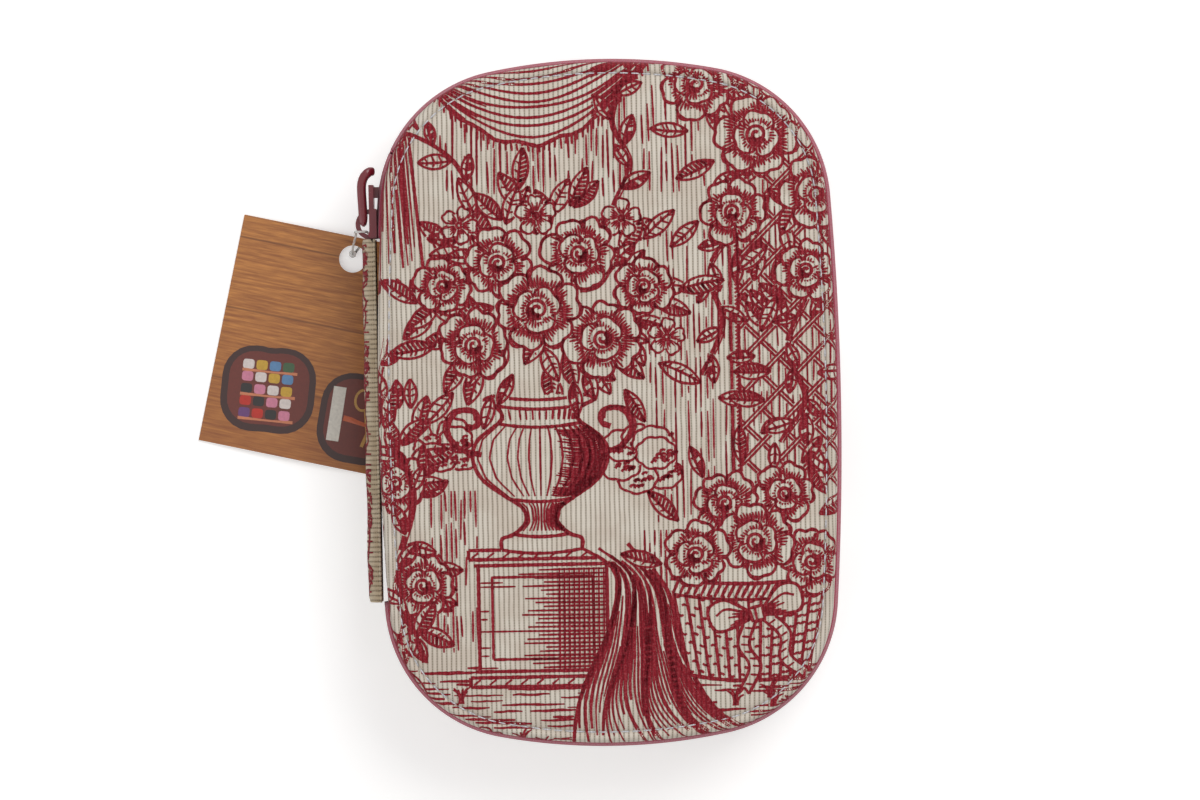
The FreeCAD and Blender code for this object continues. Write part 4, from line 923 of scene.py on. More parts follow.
def draw_garden(seed, flip):
    """The whole scene on one half's cloth; the other half has it turned about."""
    art = Engraving(seed)
    # Nearest: the basket of roses at lower right, with its bow
    draw_bow(art, 34, -50, 11, 0.25)
    for x, y, size, turn in ((20, -36, 8.5, 0.4), (34, -33, 9.5, 1.7), (47, -38, 8.0, 2.9),
            (27, -24, 8.0, 0.9), (41, -22, 7.5, 2.2)):
        draw_rose(art, x, y, size, turn)
    for x, y, length, angle in ((12, -38, 10, 2.9), (16, -28, 10, 2.3), (31, -15, 9, 1.7),
            (49, -27, 10, 0.5), (54, -41, 9, -0.4), (22, -18, 8, 2.0), (45, -15, 8, 0.9)):
        draw_leaf(art, x, y, length, angle)
    draw_basket(art, 32, -64, 36, 22)
    # The urn of roses left of the middle, on its plinth
    for x, y, size, turn in ((-16, 22, 10.5, 0.2), (-31, 14, 9.0, 1.3), (-1, 15, 9.5, 2.5),
            (-25, 33, 8.5, 0.7), (-6, 35, 9.0, 1.9), (-38, 28, 7.0, 2.8), (9, 27, 7.5, 0.5)):
        draw_rose(art, x, y, size, turn)
    for x, y, size in ((-16, 44, 5.0), (-34, 42, 4.6), (4, 43, 4.8), (14, 15, 4.6)):
        draw_blossom(art, x, y, size, x)
    for x, y, length, angle in ((-40, 14, 11, 3.3), (-44, 24, 10, 2.6), (-30, 44, 10, 2.0),
            (-20, 50, 10, 1.5), (-8, 46, 10, 1.2), (9, 38, 10, 0.8), (17, 26, 11, 0.2), (12, 9, 11, -0.5),
            (-36, 3, 10, 3.9), (-27, 2, 8, 4.5), (4, 3, 9, 5.2), (-22, 7, 8, 4.2), (-8, 5, 8, 4.9)):
        draw_leaf(art, x, y, length, angle, dark=int(x) % 3 != 0)
    draw_stem(art, [(-30, 48), (-36, 58), (-46, 64), (-56, 66)], 0.7, 5, 7)
    draw_stem(art, [(2, 46), (6, 56), (2, 66), (6, 78)], 0.7, 5, 7)
    draw_bud(art, 6, 78, 5, 1.3)
    draw_bud(art, -56, 66, 5, 2.9)
    draw_urn(art, -16, -34, 36)
    draw_foliage(art, -15, 26, 27, 21, 70)
    # A cloth thrown over the plinth, which pours down over the ground
    draw_drape(art, [(-8, -33), (1, -40), (-1, -54), (-8, -70), (-10, -86)],
        [(4, -33), (13, -44), (17, -60), (26, -74), (46, -84)], 46)
    draw_block(art, -16, -66, 30, 32)
    draw_shade(art, -30, -2, -64, -37, 1.15, 0.45)
    # Upper right: a rose bush over the trellis
    for x, y, size, turn in ((36, 62, 10.5, 0.9), (50, 48, 9.0, 2.1), (22, 74, 9.0, 0.3),
            (42, 80, 9.5, 1.5), (54, 68, 7.5, 2.7), (30, 44, 8.0, 1.1), (47, 30, 7.5, 0.2)):
        draw_rose(art, x, y, size, turn)
    for x, y, length, angle in ((26, 56, 10, 3.6), (20, 63, 9, 3.0), (28, 84, 9, 1.9), (52, 58, 9, 0.2),
            (46, 70, 8, 1.0), (38, 49, 9, -0.4), (22, 42, 9, 3.9), (38, 36, 9, 3.8), (52, 38, 9, 0.7),
            (12, 80, 9, 2.5), (56, 80, 9, 0.5), (40, 24, 9, 4.2), (54, 24, 8, -0.8), (31, 35, 8, 4.6),
            (35, 74, 7, 2.6)):
        draw_leaf(art, x, y, length, angle, dark=int(y) % 3 != 0)
    draw_stem(art, [(30, 40), (24, 30), (27, 18), (22, 6)], 0.8, 6, 7)
    draw_stem(art, [(47, 24), (42, 12), (46, 0), (40, -10)], 0.8, 5, 7)
    draw_foliage(art, 45, 58, 18, 26, 52)
    draw_foliage(art, 45, 8, 12, 24, 26, 7.5)
    draw_trellis(art, 30, 58, -20, 92)
    # Upper left: a swag with a bow and its hanging end
    draw_bow(art, -47, 82, 10, -0.3)
    draw_swag(art, (-46, 84), (16, 90), 5, 19)
    draw_fall(art, -51, 78, 15, 50, 2)
    # Left edge and foot
    draw_stem(art, [(-44, -60), (-50, -40), (-46, -20), (-54, 0), (-52, 16)], 1.0, 9, 8)
    for x, y, size, turn in ((-50, -18, 7.5, 0.6), (-44, -42, 8.0, 2.0), (-55, -58, 7.0, 1.1)):
        draw_rose(art, x, y, size, turn)
    draw_foliage(art, -50, -30, 8, 34, 46)
    for x, y, size in ((-2, -76, 4.4), (-30, -80, 4.4), (12, -84, 4.0), (-48, -76, 4.4)):
        draw_blossom(art, x, y, size, y)
    draw_ground(art, -70, 70, -62, 32)
    # Far off: trees and open shade
    draw_tree(art, 8, -12, 15)
    draw_tree(art, -38, -8, 12)
    draw_shade(art, -38, 26, 48, 74, 1.35)
    draw_shade(art, 10, 30, -30, 40, 1.4, 0.36)
    draw_shade(art, 8, 26, -58, -30, 1.2)
    draw_shade(art, -44, -31, -58, -20, 1.2)
    draw_shade(art, 31, 57, -19, 90, 1.5, 0.34)
    if flip:
        art.runs = [(points * (-1, 1), widths) for points, widths in art.runs]
    return art


def reworked(piece, work):
    """Runs one mesh operation on a piece that is already made."""
    bare = bmesh.new()
    bare.from_mesh(piece.data)
    work(bare)
    bare.to_mesh(piece.data)
    bare.free()


def lay_print(name, art, lay, lift):
    """The strokes as one mesh of flat ribbons on the cloth."""
    points, faces, flat = [], [], []
    for line, widths in art.runs:
        line = line * mm
        way = np.gradient(line, axis=0)
        way /= np.maximum(np.linalg.norm(way, axis=1), 1e-9)[:, None]
        side = np.column_stack([-way[:, 1], way[:, 0]]) * (widths * mm / 2)[:, None]
        both = np.concatenate([line + side, line - side])
        placed, held = lay(both, lift)
        count, base = len(line), len(points)
        held = held[:count] & held[count:]
        points.extend(placed)
        flat.extend(both)
        for step in range(count - 1):
            if held[step] and held[step + 1]:
                faces.append((base + step, base + count + step, base + count + step + 1, base + step + 1))
    piece = new_piece(name, points, faces)
    lay_cloth_map(piece, np.array(flat))
    reworked(piece, lambda bare: bmesh.ops.delete(
        bare, geom=[vert for vert in bare.verts if not vert.link_faces], context="VERTS"))
    return piece


def ink_finish(name, deep, pale):
    """Red printing ink sunk into the cords: mottled, paler on the crests as painted highlight, darker on
    the weft dots in the valleys as painted shade.
    """
    material, tree, shader = new_finish(name, 0.9, Specular_IOR_Level=0.2, Sheen_Weight=0.1)
    place, crest, valley, dots = cloth_ribs(tree)
    mottle = band_of(tree, speckle_of(tree, 2.2, 3.0, place), 0.42, 0.68)
    # Painted highlight: mottled patches on the crests of the cords are paled towards the pale colour.
    wear_and_highlight = times(tree, mottle, band_of(tree, crest, 0.2, 1.0, 0.35, 1.0))
    colour = blend_of(tree, times(tree, wear_and_highlight, 0.62), deep, pale)
    # Painted shade: the weft dots in the valleys are darkened.
    colour = blend_of(tree, times(tree, dots, 0.4), colour, tint(74, 14, 20))
    colour_with(tree, shader, colour)
    height = sum_of(tree, "SUBTRACT", crest, times(tree, dots, 0.5))
    relief(tree, shader, height, 0.22 * mm, 0.8)
    return material


red_ink = ink_finish("red_print_ink", tint(134, 18, 34), tint(172, 80, 86))
for side, seed, flip in (("lid", 5, False), ("base", 23, True)):
    art = draw_garden(seed, flip)
    piece = lay_print(side + "_print", art, covers[side].lay, cloth_rise)
    if side == "base":
        piece.data.flip_normals()
    hand_over(piece, red_ink, side, "printed_corduroy")


# Seam of the crease: a row of stitches in pale cotton thread, sewn through cloth and foam to hold the
# cloth down round the face.

stitch_length = 1.9 * mm
stitch_pitch = 2.7 * mm
stitch_radius = 0.17 * mm


def end_caps(around, count, flip=False):
    """Flat faces that close the first and the last ring of a form."""
    first, last = tuple(range(around)), tuple(range(count - around, count))
    return [first, last[::-1]] if flip else [first[::-1], last]


def closing_ring(rings, around):
    """Faces from the last ring of a form back to its first."""
    last = (rings - 1) * around
    return [(last + step, last + (step + 1) % around, (step + 1) % around, step) for step in range(around)]


def tube_along(path, radius, sides=6, closed=False, flatten=1.0, up=None):
    """Points and faces of a tube along a path; its radius may differ from point to point."""
    path = np.array(path, float)
    radius = np.broadcast_to(radius, len(path))
    way = np.gradient(path, axis=0)
    if closed:
        way = np.roll(path, -1, axis=0) - np.roll(path, 1, axis=0)
    way /= np.maximum(np.linalg.norm(way, axis=1), 1e-12)[:, None]
    side = np.cross(way[0], up if up is not None else (0.13, 0.31, 0.94))
    points = []
    for place, turn, reach in zip(path, way, radius):
        side = side - turn * side.dot(turn)
        side = side / np.linalg.norm(side)
        other = np.cross(turn, side)
        for step in range(sides):
            angle = 2 * math.pi * step / sides
            points.append(place + side * math.cos(angle) * reach
                + other * math.sin(angle) * reach * flatten)
    faces = ring_faces(len(path), sides)
    if closed:
        faces += closing_ring(len(path), sides)
    else:
        faces += end_caps(sides, len(points))
    return points, faces


class Gathered:
    """Many small forms gathered into one mesh."""

    def __init__(self):
        self.points = []
        self.faces = []

    def add(self, points, faces):
        base = len(self.points)
        self.points.extend(points)
        self.faces.extend(tuple(base + index for index in face) for face in faces)

    def finish(self, name, smooth=True):
        return new_piece(name, self.points, self.faces, smooth)


def stitch(gathered, start, stop, rise, radius=stitch_radius):
    """One thread stitch: it comes up out of the cloth, lies on it and goes down again."""
    start, stop, rise = (np.array(spot, float) for spot in (start, stop, rise))
    arch = ((0, -0.5), (0.08, 0.35), (0.3, 0.85), (0.5, 1.0), (0.7, 0.85), (0.92, 0.35), (1, -0.5))
    path = [start + (stop - start) * share + rise * lift for share, lift in arch]
    gathered.add(*tube_along(path, [radius * share for share in (0.6, 0.9, 1, 1, 1, 0.9, 0.6)]))


def thread_finish(name, colour, shine=0.55):
    """Twisted sewing thread: fine slanting strands and a soft shine."""
    material, tree, shader = new_finish(name, shine, Sheen_Weight=0.3)
    grain = speckle_of(tree, 2400.0, 2.0)
    dark = tuple(channel * 0.62 for channel in colour[:3]) + (1,)
    colour_with(tree, shader, blend_of(tree, band_of(tree, grain, 0.35, 0.65), dark, colour))
    relief(tree, shader, grain, 0.05 * mm, 0.7)
    return material


pale_thread = thread_finish("pale_seam_thread", tint(226, 226, 232))
for side in ("lid", "base"):
    rim, normals = rim_walk(stitch_pitch)
    way = np.column_stack([-normals[:, 1], normals[:, 0]]) * stitch_length / 2
    seat = rim - normals * (crease_inside - 0.12 * mm)
    seam = Gathered()
    ends = [covers[side].lay(seat + way * turn, 0.1 * mm)[0] for turn in (-1, 1)]
    away = 1 if side == "lid" else -1
    for start, stop in zip(*ends):
        stitch(seam, start, stop, (0, 0, away * 0.16 * mm))
    hand_over(seam.finish(side + "_crease_stitches"), pale_thread, side, "printed_corduroy")


# Foam boards: a stiff shell in each half that keeps its form. Dark closed-cell foam, heat-moulded
# between the cover and the lining.

foam_material, tree, shader = new_finish("moulded_foam", 0.95)
cells = add_node(tree, "TexVoronoi", {"Vector": solid_place(tree), "Scale": 1800.0})
colour_with(tree, shader, blend_of(tree, band_of(tree, cells.outputs[0], 0.1, 0.6), tint(58, 54, 52),
    tint(92, 88, 84)))
relief(tree, shader, cells.outputs[0], 0.1 * mm, 0.6)


def dress(node, material):
    """Gives a solid of the frame its finish."""
    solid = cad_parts[node]
    solid.data.materials.clear()
    solid.data.materials.append(material)


dress("lid_core", foam_material)
dress("base_core", foam_material)


# Linings: dark red-brown plain-woven cloth in each half, glued into the foam and turned over its rim
# to the zip tape.


def weave_finish(name, light, dark, scale, distance=0.12 * mm, roughness=0.8, sheen=0.25):
    """Plain-woven cloth: two crossing sets of threads, with slubs and slight colour drift."""
    material, tree, shader = new_finish(name, roughness, Sheen_Weight=sheen, Specular_IOR_Level=0.3)
    place = solid_place(tree)
    split = add_node(tree, "SeparateXYZ", {0: place})
    strands = [sum_of(tree, "SINE", times(tree, split.outputs[axis], scale)) for axis in range(3)]
    knit = times(tree, strands[0], strands[1])
    knit = sum_of(tree, "ADD", knit, times(tree, strands[2], 0.5))
    knit = band_of(tree, knit, -1.2, 1.2)
    drift = speckle_of(tree, 60.0, 4.0, place)
    share = sum_of(tree, "MULTIPLY_ADD", drift, 0.6, times(tree, knit, 0.45))
    colour_with(tree, shader, blend_of(tree, share, dark, light))
    fibre = speckle_of(tree, 3000.0, 2.0, place)
    relief(tree, shader, sum_of(tree, "MULTIPLY_ADD", fibre, 0.35, knit), distance, 0.8)
    return material


lining_cloth = weave_finish("lining_cloth", tint(112, 48, 40), tint(66, 24, 22), 9000.0)


def make_lining(side):
    """Section from the tape over the rim, down the wall, round the foot and over the floor."""
    is_lid = side == "lid"
    core_low, core_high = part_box(side + "_lining")
    rim_level = core_low.z if is_lid else core_high.z
    floor = (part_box("pin_pad")[1].z if is_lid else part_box("tape_measure")[0].z)
    deep = abs(floor - rim_level) / mm
    knots = [(0.7, 0.25), (0.8, -0.02), (1.2, -0.13), (2.3, -0.15), (3.0, -0.02), (3.32, 0.5), (3.4, 1.6),
        (3.5, deep - 3.7), (3.95, deep - 2.95), (5.3, deep - 1.68), (6.6, deep - 0.5), (7.8, deep + 0.01),
        (10, deep + 0.03), (16, deep + 0.04), (22, deep + 0.04), (28, deep + 0.04)]
    line = np.array(through(knots, 4))
    rim, normals = rim_walk(1.2 * mm)
    away = 1 if is_lid else -1
    points = []
    for inside, depth in line:
        plan = rim - normals * inside * mm
        ripple = 0.03 * mm * np.sin(plan[:, 1] / mm * 0.9) if 1 < depth < deep - 3 else 0
        points.append(np.column_stack([plan + normals * np.reshape(ripple, (-1, 1)),
            np.full(len(rim), rim_level + away * depth * mm)]))
    middle = points[-1][:, :2]
    for step in range(1, 9):
        plan = middle * (1 - step / 8.0001)
        points.append(np.column_stack([plan, np.full(len(rim), points[-1][0, 2])]))
    faces = ring_faces(len(points), len(rim), flip=is_lid)
    piece = new_piece(side + "_lining_cloth", np.concatenate(points), faces)
    reworked(piece, lambda bare: bmesh.ops.remove_doubles(bare, verts=bare.verts, dist=0.02 * mm))
    piece.data.shade_smooth()
    return piece


for side in ("lid", "base"):
    hand_over(make_lining(side), lining_cloth, side, "lining_cloth", side + "_lining")


# Spine: a bowed strip of the same printed cotton along the left side, lined with ribbed tape. It is
# the hinge: cloth turns at its upper edge to the lid and at its lower edge to the base.

spine_low, spine_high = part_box("spine_cover")
spine_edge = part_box("spine_lining")[1].x
spine_skin = 1.3 * mm
spine_bulge = spine_edge - spine_low.x - spine_skin
spine_half = (spine_high.z - spine_low.z) / 2
spine_middle = (spine_high.z + spine_low.z) / 2
bow_radius = (spine_half ** 2 + spine_bulge ** 2) / (2 * spine_bulge)
bow_angle = math.asin(spine_half / bow_radius)
bow_centre = spine_edge - spine_bulge + bow_radius
spine_fold_line = spine_half - 0.1 * mm


def spine_place(along, across, skin):
    """A point of the strip: across runs over its bow from -1 to 1, and skin is how
    far outside its inner face it lies."""
    angle = across * bow_angle
    reach = bow_radius + skin
    pinch = 0.12 * mm * math.sin(along / (3.1 * mm)) * (1 - across * across)
    rise = max(-spine_fold_line, min(spine_fold_line, reach * math.sin(angle)))
    return (bow_centre - (reach + pinch) * math.cos(angle), along, spine_middle + rise)


def make_strip(name, inner, outer, rounding):
    """A bowed strip with soft hems at both ends and along both edges."""
    rounds = 86
    steps = 12
    points, flat = [], []
    for row in range(rounds + 1):
        share = row / rounds
        along = spine_low.y + (spine_high.y - spine_low.y) * share
        end = min(share, 1 - share) * (spine_high.y - spine_low.y)
        hem = min(1, end / rounding)
        thin = 0.25 + 0.75 * math.sqrt(hem * (2 - hem))
        middle = (inner + outer) / 2
        half = (outer - inner) / 2 * thin
        for face in (1, -1):
            for step in range(steps + 1):
                across = (step / steps * 2 - 1) * face
                edge = 1 - max(0, abs(across) - 0.9) * 6
                points.append(spine_place(along, across, middle + face * half * edge))
                flat.append((along, (bow_radius + outer) * across * bow_angle))
    around = 2 * (steps + 1)
    faces = ring_faces(rounds + 1, around)
    faces += end_caps(around, len(points))
    piece = new_piece(name, points, faces)
    lay_cloth_map(piece, np.array(flat))
    return piece


# The spine's cotton is the cover's cloth painted darker and warmer: painted shade for the strip that lies
# in shade at the case's side, with painted shade in its valleys as on the covers.
shaded_spine_cotton = cotton_finish("shaded_spine_cotton", tint(206, 190, 166), tint(190, 171, 144), tint(112, 92, 70),
    0.8)
hand_over(
    make_strip("spine_cotton_strip", 0.5 * mm, spine_skin, 1.2 * mm),
    shaded_spine_cotton, "spine", "spine_cloth", "spine_cover")


def lay_on_spine(plan, lift):
    """Flat-cloth points laid on the spine's outer face."""
    across = plan[:, 1] / ((bow_radius + spine_skin) * bow_angle)
    placed = [spine_place(along, side, spine_skin + lift) for along, side in zip(plan[:, 0], across)]
    held = (np.abs(across) < 0.76) & (plan[:, 0] > spine_low.y + mm) & (plan[:, 0] < spine_high.y - mm)
    return np.array(placed), held


def draw_spine():
    """Roses, leaves and a winding stem along the narrow strip."""
    art = Engraving(41)
    for index, along in enumerate((-40, -24, -7, 9, 23, 35)):
        draw_rose(art, along, 2.4 if index % 2 else -2.6, 6.2, index * 1.3)
    for index in range(12):
        draw_leaf(art, -44 + index * 7.2, -1 + 2.5 * math.sin(index * 2.1), 7, 0.6 + index * 1.9)
    draw_stem(art, [(-46, -3), (-30, 3), (-12, -3), (6, 3), (24, -3), (40, 2)], 0.8, 6, 6)
    draw_shade(art, -46, 40, -6, 6, 2.4, 0.35)
    return art


hand_over(lay_print("spine_print", draw_spine(), lay_on_spine, cloth_rise), red_ink, "spine", "spine_cloth")

spine_tape = weave_finish("spine_lining_tape", tint(58, 34, 32), tint(26, 14, 14), 7000.0)
hand_over(
    make_strip("spine_lining_strip", 0, 0.46 * mm, 1.2 * mm),
    spine_tape, "spine", "spine_lining_cloth", "spine_lining")

cords = Gathered()
for index in range(18):
    along = spine_low.y + 3 * mm + index * (spine_high.y - spine_low.y - 6 * mm) / 17
    rib = [spine_place(along, step / 5 - 1, -0.1 * mm) for step in range(1, 10)]
    cords.add(*tube_along(rib, 0.42 * mm, 8))
hand_over(cords.finish("spine_lining_ribs"), spine_tape, "spine", "spine_lining_cloth")

for name, first, second, level in (("lower_hinge_cloth", "base", "spine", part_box("base_cover")[1].z),
    ("upper_hinge_cloth", "spine", "lid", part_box("lid_cover")[0].z)):
    away = 1 if first == "base" else -1
    section = [(-0.05, -0.95), (-0.42, -0.9), (-0.5, -0.2), (-0.62, 0.5), (-1.1, 1.0), (-0.85, 1.15),
        (-0.3, 0.75), (0.02, 0.1), (0.02, -0.6)]
    rows = 90
    points, flat = [], []
    for row in range(rows + 1):
        along = spine_low.y + (spine_high.y - spine_low.y) * row / rows
        for across, rise in section:
            points.append((spine_edge + across * mm, along, level + away * rise * mm))
            flat.append((along, rise * mm))
    faces = ring_faces(rows + 1, len(section), flip=away > 0)
    faces += end_caps(len(section), len(points), flip=away > 0)
    piece = new_piece(name, points, faces)
    lay_cloth_map(piece, np.array(flat))
    piece.data.materials.append(shaded_spine_cotton)
    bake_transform(piece)


# Zip: two crimson woven tapes sewn inside the rims, each with a row of nylon coil on its free edge. The
# rows hook into each other; at the zip's start the upper tape stays sewn to the lower one.

tape_reach = 3.8 * mm
tape_lean = 0.85 * mm
tooth_pitch = 1.35 * mm
tooth_wire = 0.26 * mm
zip_start_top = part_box("zip_start")[1].y
zip_stop = (spine_low.y, spine_high.y)


def zip_walk(spacing, last):
    """The rim from the spine's foot round the bottom, right and top, and down the
    left side to a given height."""
    rim, normals = rim_walk(0.25 * mm)
    first = int(np.argmin(np.hypot(rim[:, 0] + half_width, rim[:, 1] - zip_stop[0])))
    rim, normals = np.roll(rim, -first, axis=0), np.roll(normals, -first, axis=0)
    left = rim[:, 0] < -half_width / 2
    after_top = np.arange(len(rim)) > int(np.argmax(rim[:, 1]))
    kept = ~(left & after_top & (rim[:, 1] < last))
    kept[0] = True
    rim, normals = rim[kept], normals[kept]
    return resampled(rim, normals, spacing)


def resampled(rim, normals, spacing):
    """Even spacing along a stretch of the rim."""
    run = run_along(rim)
    at = np.linspace(0, run[-1], max(2, round(run[-1] / spacing) + 1))
    rim = np.column_stack([np.interp(at, run, rim[:, axis]) for axis in (0, 1)])
    normals = np.column_stack([np.interp(at, run, normals[:, axis]) for axis in (0, 1)])
    return rim, normals / np.linalg.norm(normals, axis=1)[:, None], at


def tape_strip(name, rim, normals, at, foot, away):
    """A woven tape that stands up from the rim and leans out a little; its free edge is corded."""
    section = [(-0.28, 0.0), (-0.02, 0.0), (0.22, 0.0), (0.42, 1.0), (0.75, 2.4), (1.02, 3.4), (1.12, 3.62),
        (1.02, 3.8), (0.78, 3.8), (0.62, 3.6), (0.62, 3.3), (0.3, 2.2), (0.0, 1.0)]
    points, flat = [], []
    for spot, normal, along in zip(rim, normals, at):
        for out, rise in section:
            plan = spot + normal * out * mm
            points.append((*plan, foot + away * rise * mm))
            flat.append((along, rise * mm))
    count = len(section)
    faces = ring_faces(len(rim), count, flip=away > 0)
    faces += end_caps(count, len(points), flip=away > 0)
    piece = new_piece(name, points, faces)
    lay_cloth_map(piece, np.array(flat))
    return piece


def tape_finish(name, light, dark):
    """Zip tape: a herringbone weave along its length, with a faint sheen."""
    material, tree, shader = new_finish(name, 0.72, Sheen_Weight=0.35, Specular_IOR_Level=0.35)
    place, split = cloth_place(tree)
    zigzag = sum_of(tree, "PINGPONG", split.outputs[1], 0.55)
    slant = sum_of(tree, "DIVIDE", sum_of(tree, "ADD", split.outputs[0], zigzag), 0.42)
    twill = band_of(tree, sum_of(tree, "PINGPONG", slant, 0.5), 0.08, 0.42)
    drift = speckle_of(tree, 0.5, 3.0, place)
    share = sum_of(tree, "MULTIPLY_ADD", drift, 0.5, times(tree, twill, 0.5))
    colour_with(tree, shader, blend_of(tree, share, dark, light))
    relief(tree, shader, twill, 0.1 * mm, 0.8)
    return material


def coil_row(name, rim, normals, foot, away, shift):
    """Nylon coil: one monofilament wound to and fro over the tape's edge, a hook to each turn."""
    section = [(-0.95, 2.0), (-0.95, 3.3), (-0.9, 4.35), (-0.5, 4.85), (-0.05, 4.35), (0.02, 3.3),
        (0.02, 2.0), (-0.45, 1.75)]
    lean = tape_lean / tape_reach
    path = []
    way = np.column_stack([-normals[:, 1], normals[:, 0]])
    for index in range(len(rim) - 1):
        for step, (out, rise) in enumerate(section):
            share = (step + shift * len(section)) / len(section)
            swell = 0.5 * math.cos(2 * math.pi * step / len(section)) * 0.12
            plan = rim[index] + (rim[index + 1] - rim[index]) * share + way[index] * swell * mm
            plan = plan + normals[index] * (out * mm + lean * rise * mm)
            path.append((*plan, foot + away * rise * mm))
    points, faces = tube_along(path, tooth_wire, 5)
    return new_piece(name, points, faces)


crimson_tape = tape_finish("crimson_zip_tape", tint(190, 52, 88), tint(132, 20, 52))
coil_nylon, tree, shader = new_finish("crimson_nylon_coil", 0.35, Coat_Weight=0.3)
colour_with(tree, shader, blend_of(tree, speckle_of(tree, 700.0, 3.0), tint(150, 22, 56),
    tint(196, 52, 90)))
relief(tree, shader, speckle_of(tree, 4000.0, 1.0), 0.02 * mm, 0.4)

for side, foot, away, last, shift in (
    ("base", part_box("base_cover")[1].z, 1, zip_stop[1], 0.0),
    ("lid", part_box("lid_cover")[0].z, -1, zip_start_top + 0.5 * mm, 0.5)):
    rim, normals, at = zip_walk(1.1 * mm, last)
    hand_over(
        tape_strip(side + "_zip_tape_woven", rim, normals, at, foot, away),
        crimson_tape, side, "zip_tape", side + "_zip_tape")
    rim, normals, at = zip_walk(tooth_pitch, last)
    hand_over(
        coil_row(side + "_zip_coil_wound", rim, normals, foot, away, shift),
        coil_nylon, side, "zip_coil", side + "_zip_coil")

rim, normals = rim_walk(0.25 * mm)
start = (rim[:, 0] < -half_width / 2) & (rim[:, 1] > zip_stop[1]) & (rim[:, 1] < zip_start_top)
rim, normals, at = resampled(rim[start], normals[start], 1.1 * mm)
hand_over(
    tape_strip("zip_start_tape", rim, normals, at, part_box("lid_cover")[0].z, -1),
    crimson_tape, "base", "zip_tape", "zip_start")

tack = Gathered()
for index in range(7):
    level = spine_middle + (index - 3) * 0.55 * mm
    stitch(tack, (-half_width - 1.25 * mm, zip_stop[1] + 0.3 * mm, level),
        (-half_width - 1.25 * mm, zip_stop[1] + 1.9 * mm, level + 0.2 * mm), (-0.25 * mm, 0, 0), 0.24 * mm)
bridge = [(-half_width - 0.95 * mm, zip_stop[1] + 0.2 * mm + step * 0.4 * mm) for step in range(5)]
for x, y in bridge:
    tack.add(*tube_along([(x, y, spine_middle + (step - 4) * 0.5 * mm) for step in range(9)], 0.28 * mm, 6))
hand_over(
    tack.finish("zip_start_tack"),
    thread_finish("crimson_tack_thread", tint(150, 26, 58)), "base", "zip_tape")


# Slider and pull: a die-cast slider in dark crimson lacquer, parked at the zip's start. Its pull is a
# bent wire-like loop on a pin through the crown.

pull_low, pull_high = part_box("slider_pull")
pin_place = (-half_width - 2.86 * mm, 43.096 * mm)
pull_middle = (pull_low.z + pull_high.z) / 2


def lacquer_finish(name, light, dark):
    """Coloured lacquer on cast metal: even gloss, cloudy depth and tiny specks of wear."""
    material, tree, shader = new_finish(name, 0.32, Coat_Weight=0.35, Coat_Roughness=0.2)
    cloud = speckle_of(tree, 260.0, 4.0)
    wear = band_of(tree, speckle_of(tree, 1500.0, 2.0), 0.69, 0.74)
    colour = blend_of(tree, cloud, dark, light)
    colour = blend_of(tree, times(tree, wear, 0.5), colour, tint(170, 96, 100))
    colour_with(tree, shader, colour)
    relief(tree, shader, speckle_of(tree, 900.0, 3.0), 0.04 * mm, 0.5)
    return material


crimson_lacquer = lacquer_finish("crimson_lacquer", tint(128, 22, 40), tint(88, 10, 26))
dress("slider_body", crimson_lacquer)

bend = np.array(through([(0, -0.2), (-0.1, 3.2), (-0.3, 7.4), (-0.25, 9.6), (0.35, 11.3), (1.5, 12.35),
    (2.45, 12.5), (3.4, 12.5)], 8))
run = run_along(bend)


def pull_place(along, across, out):
    """A point of the pull, in millimetres along its bend, across its width and out
    from its middle face."""
    x, y = (float(np.interp(along, run, bend[:, axis])) for axis in (0, 1))
    ahead = [float(np.interp(along + 0.1, run, bend[:, axis]))
        - float(np.interp(along - 0.1, run, bend[:, axis])) for axis in (0, 1)]
    size = math.hypot(*ahead)
    normal = (-ahead[1] / size, ahead[0] / size)
    return (pin_place[0] + (x + normal[0] * out) * mm, pin_place[1] + (y + normal[1] * out) * mm,
        pull_middle + across * mm)


bar_half = 0.62
bar_place = 2.06
bar_thick = 1.02
turn_start = run[-1] - 2.45
route = [(step / 14 * turn_start, -bar_place) for step in range(15)]
route += [(turn_start + 1.35 * math.sin(step / 12 * math.pi), -bar_place * math.cos(step / 12 * math.pi))
    for step in range(1, 12)]
route += [(turn_start - step / 14 * turn_start, bar_place) for step in range(15)]
points = []
sides = 14
for index, (along, across) in enumerate(route):
    before, after = route[max(0, index - 1)], route[min(len(route) - 1, index + 1)]
    way = (after[0] - before[0], after[1] - before[1])
    size = math.hypot(*way)
    side_along, side_across = way[1] / size, -way[0] / size
    end = min(index, len(route) - 1 - index)
    plump = (0.55, 0.86, 0.97)[end] if end < 3 else 1.0
    for step in range(sides):
        angle = 2 * math.pi * step / sides
        reach = bar_half * plump * np.sign(math.cos(angle)) * abs(math.cos(angle)) ** 0.8
        out = bar_thick * plump * np.sign(math.sin(angle)) * abs(math.sin(angle)) ** 0.8
        points.append(pull_place(along + side_along * reach, across + side_across * reach, out))
faces = ring_faces(len(route), sides)
faces += end_caps(sides, len(points))
tab = Gathered()
tab.add(points, faces)
tab.add(*tube_along([pull_place(0.2, across, 0) for across in np.linspace(-2.5, 2.5, 9)], 0.5 * mm, 12))
hand_over(tab.finish("slider_pull_loop"), crimson_lacquer, "pull", "slider_metal", "slider_pull")


# Swing tag: a thin printed card, curled a little, with a punched hole; its face shows light wood
# boards and a small picture of an open sewing case. A nylon loop ties it to the slider's crown.

tag_hole = (-60.2 * mm, 35.4 * mm)
tag_turn = math.radians(-12.6)
tag_left, tag_right, tag_top, tag_foot = -27.5, 20.9, 5.3, -49.7
tag_curl = 1.0
hole_radius = 3.25
card_thick = 0.3


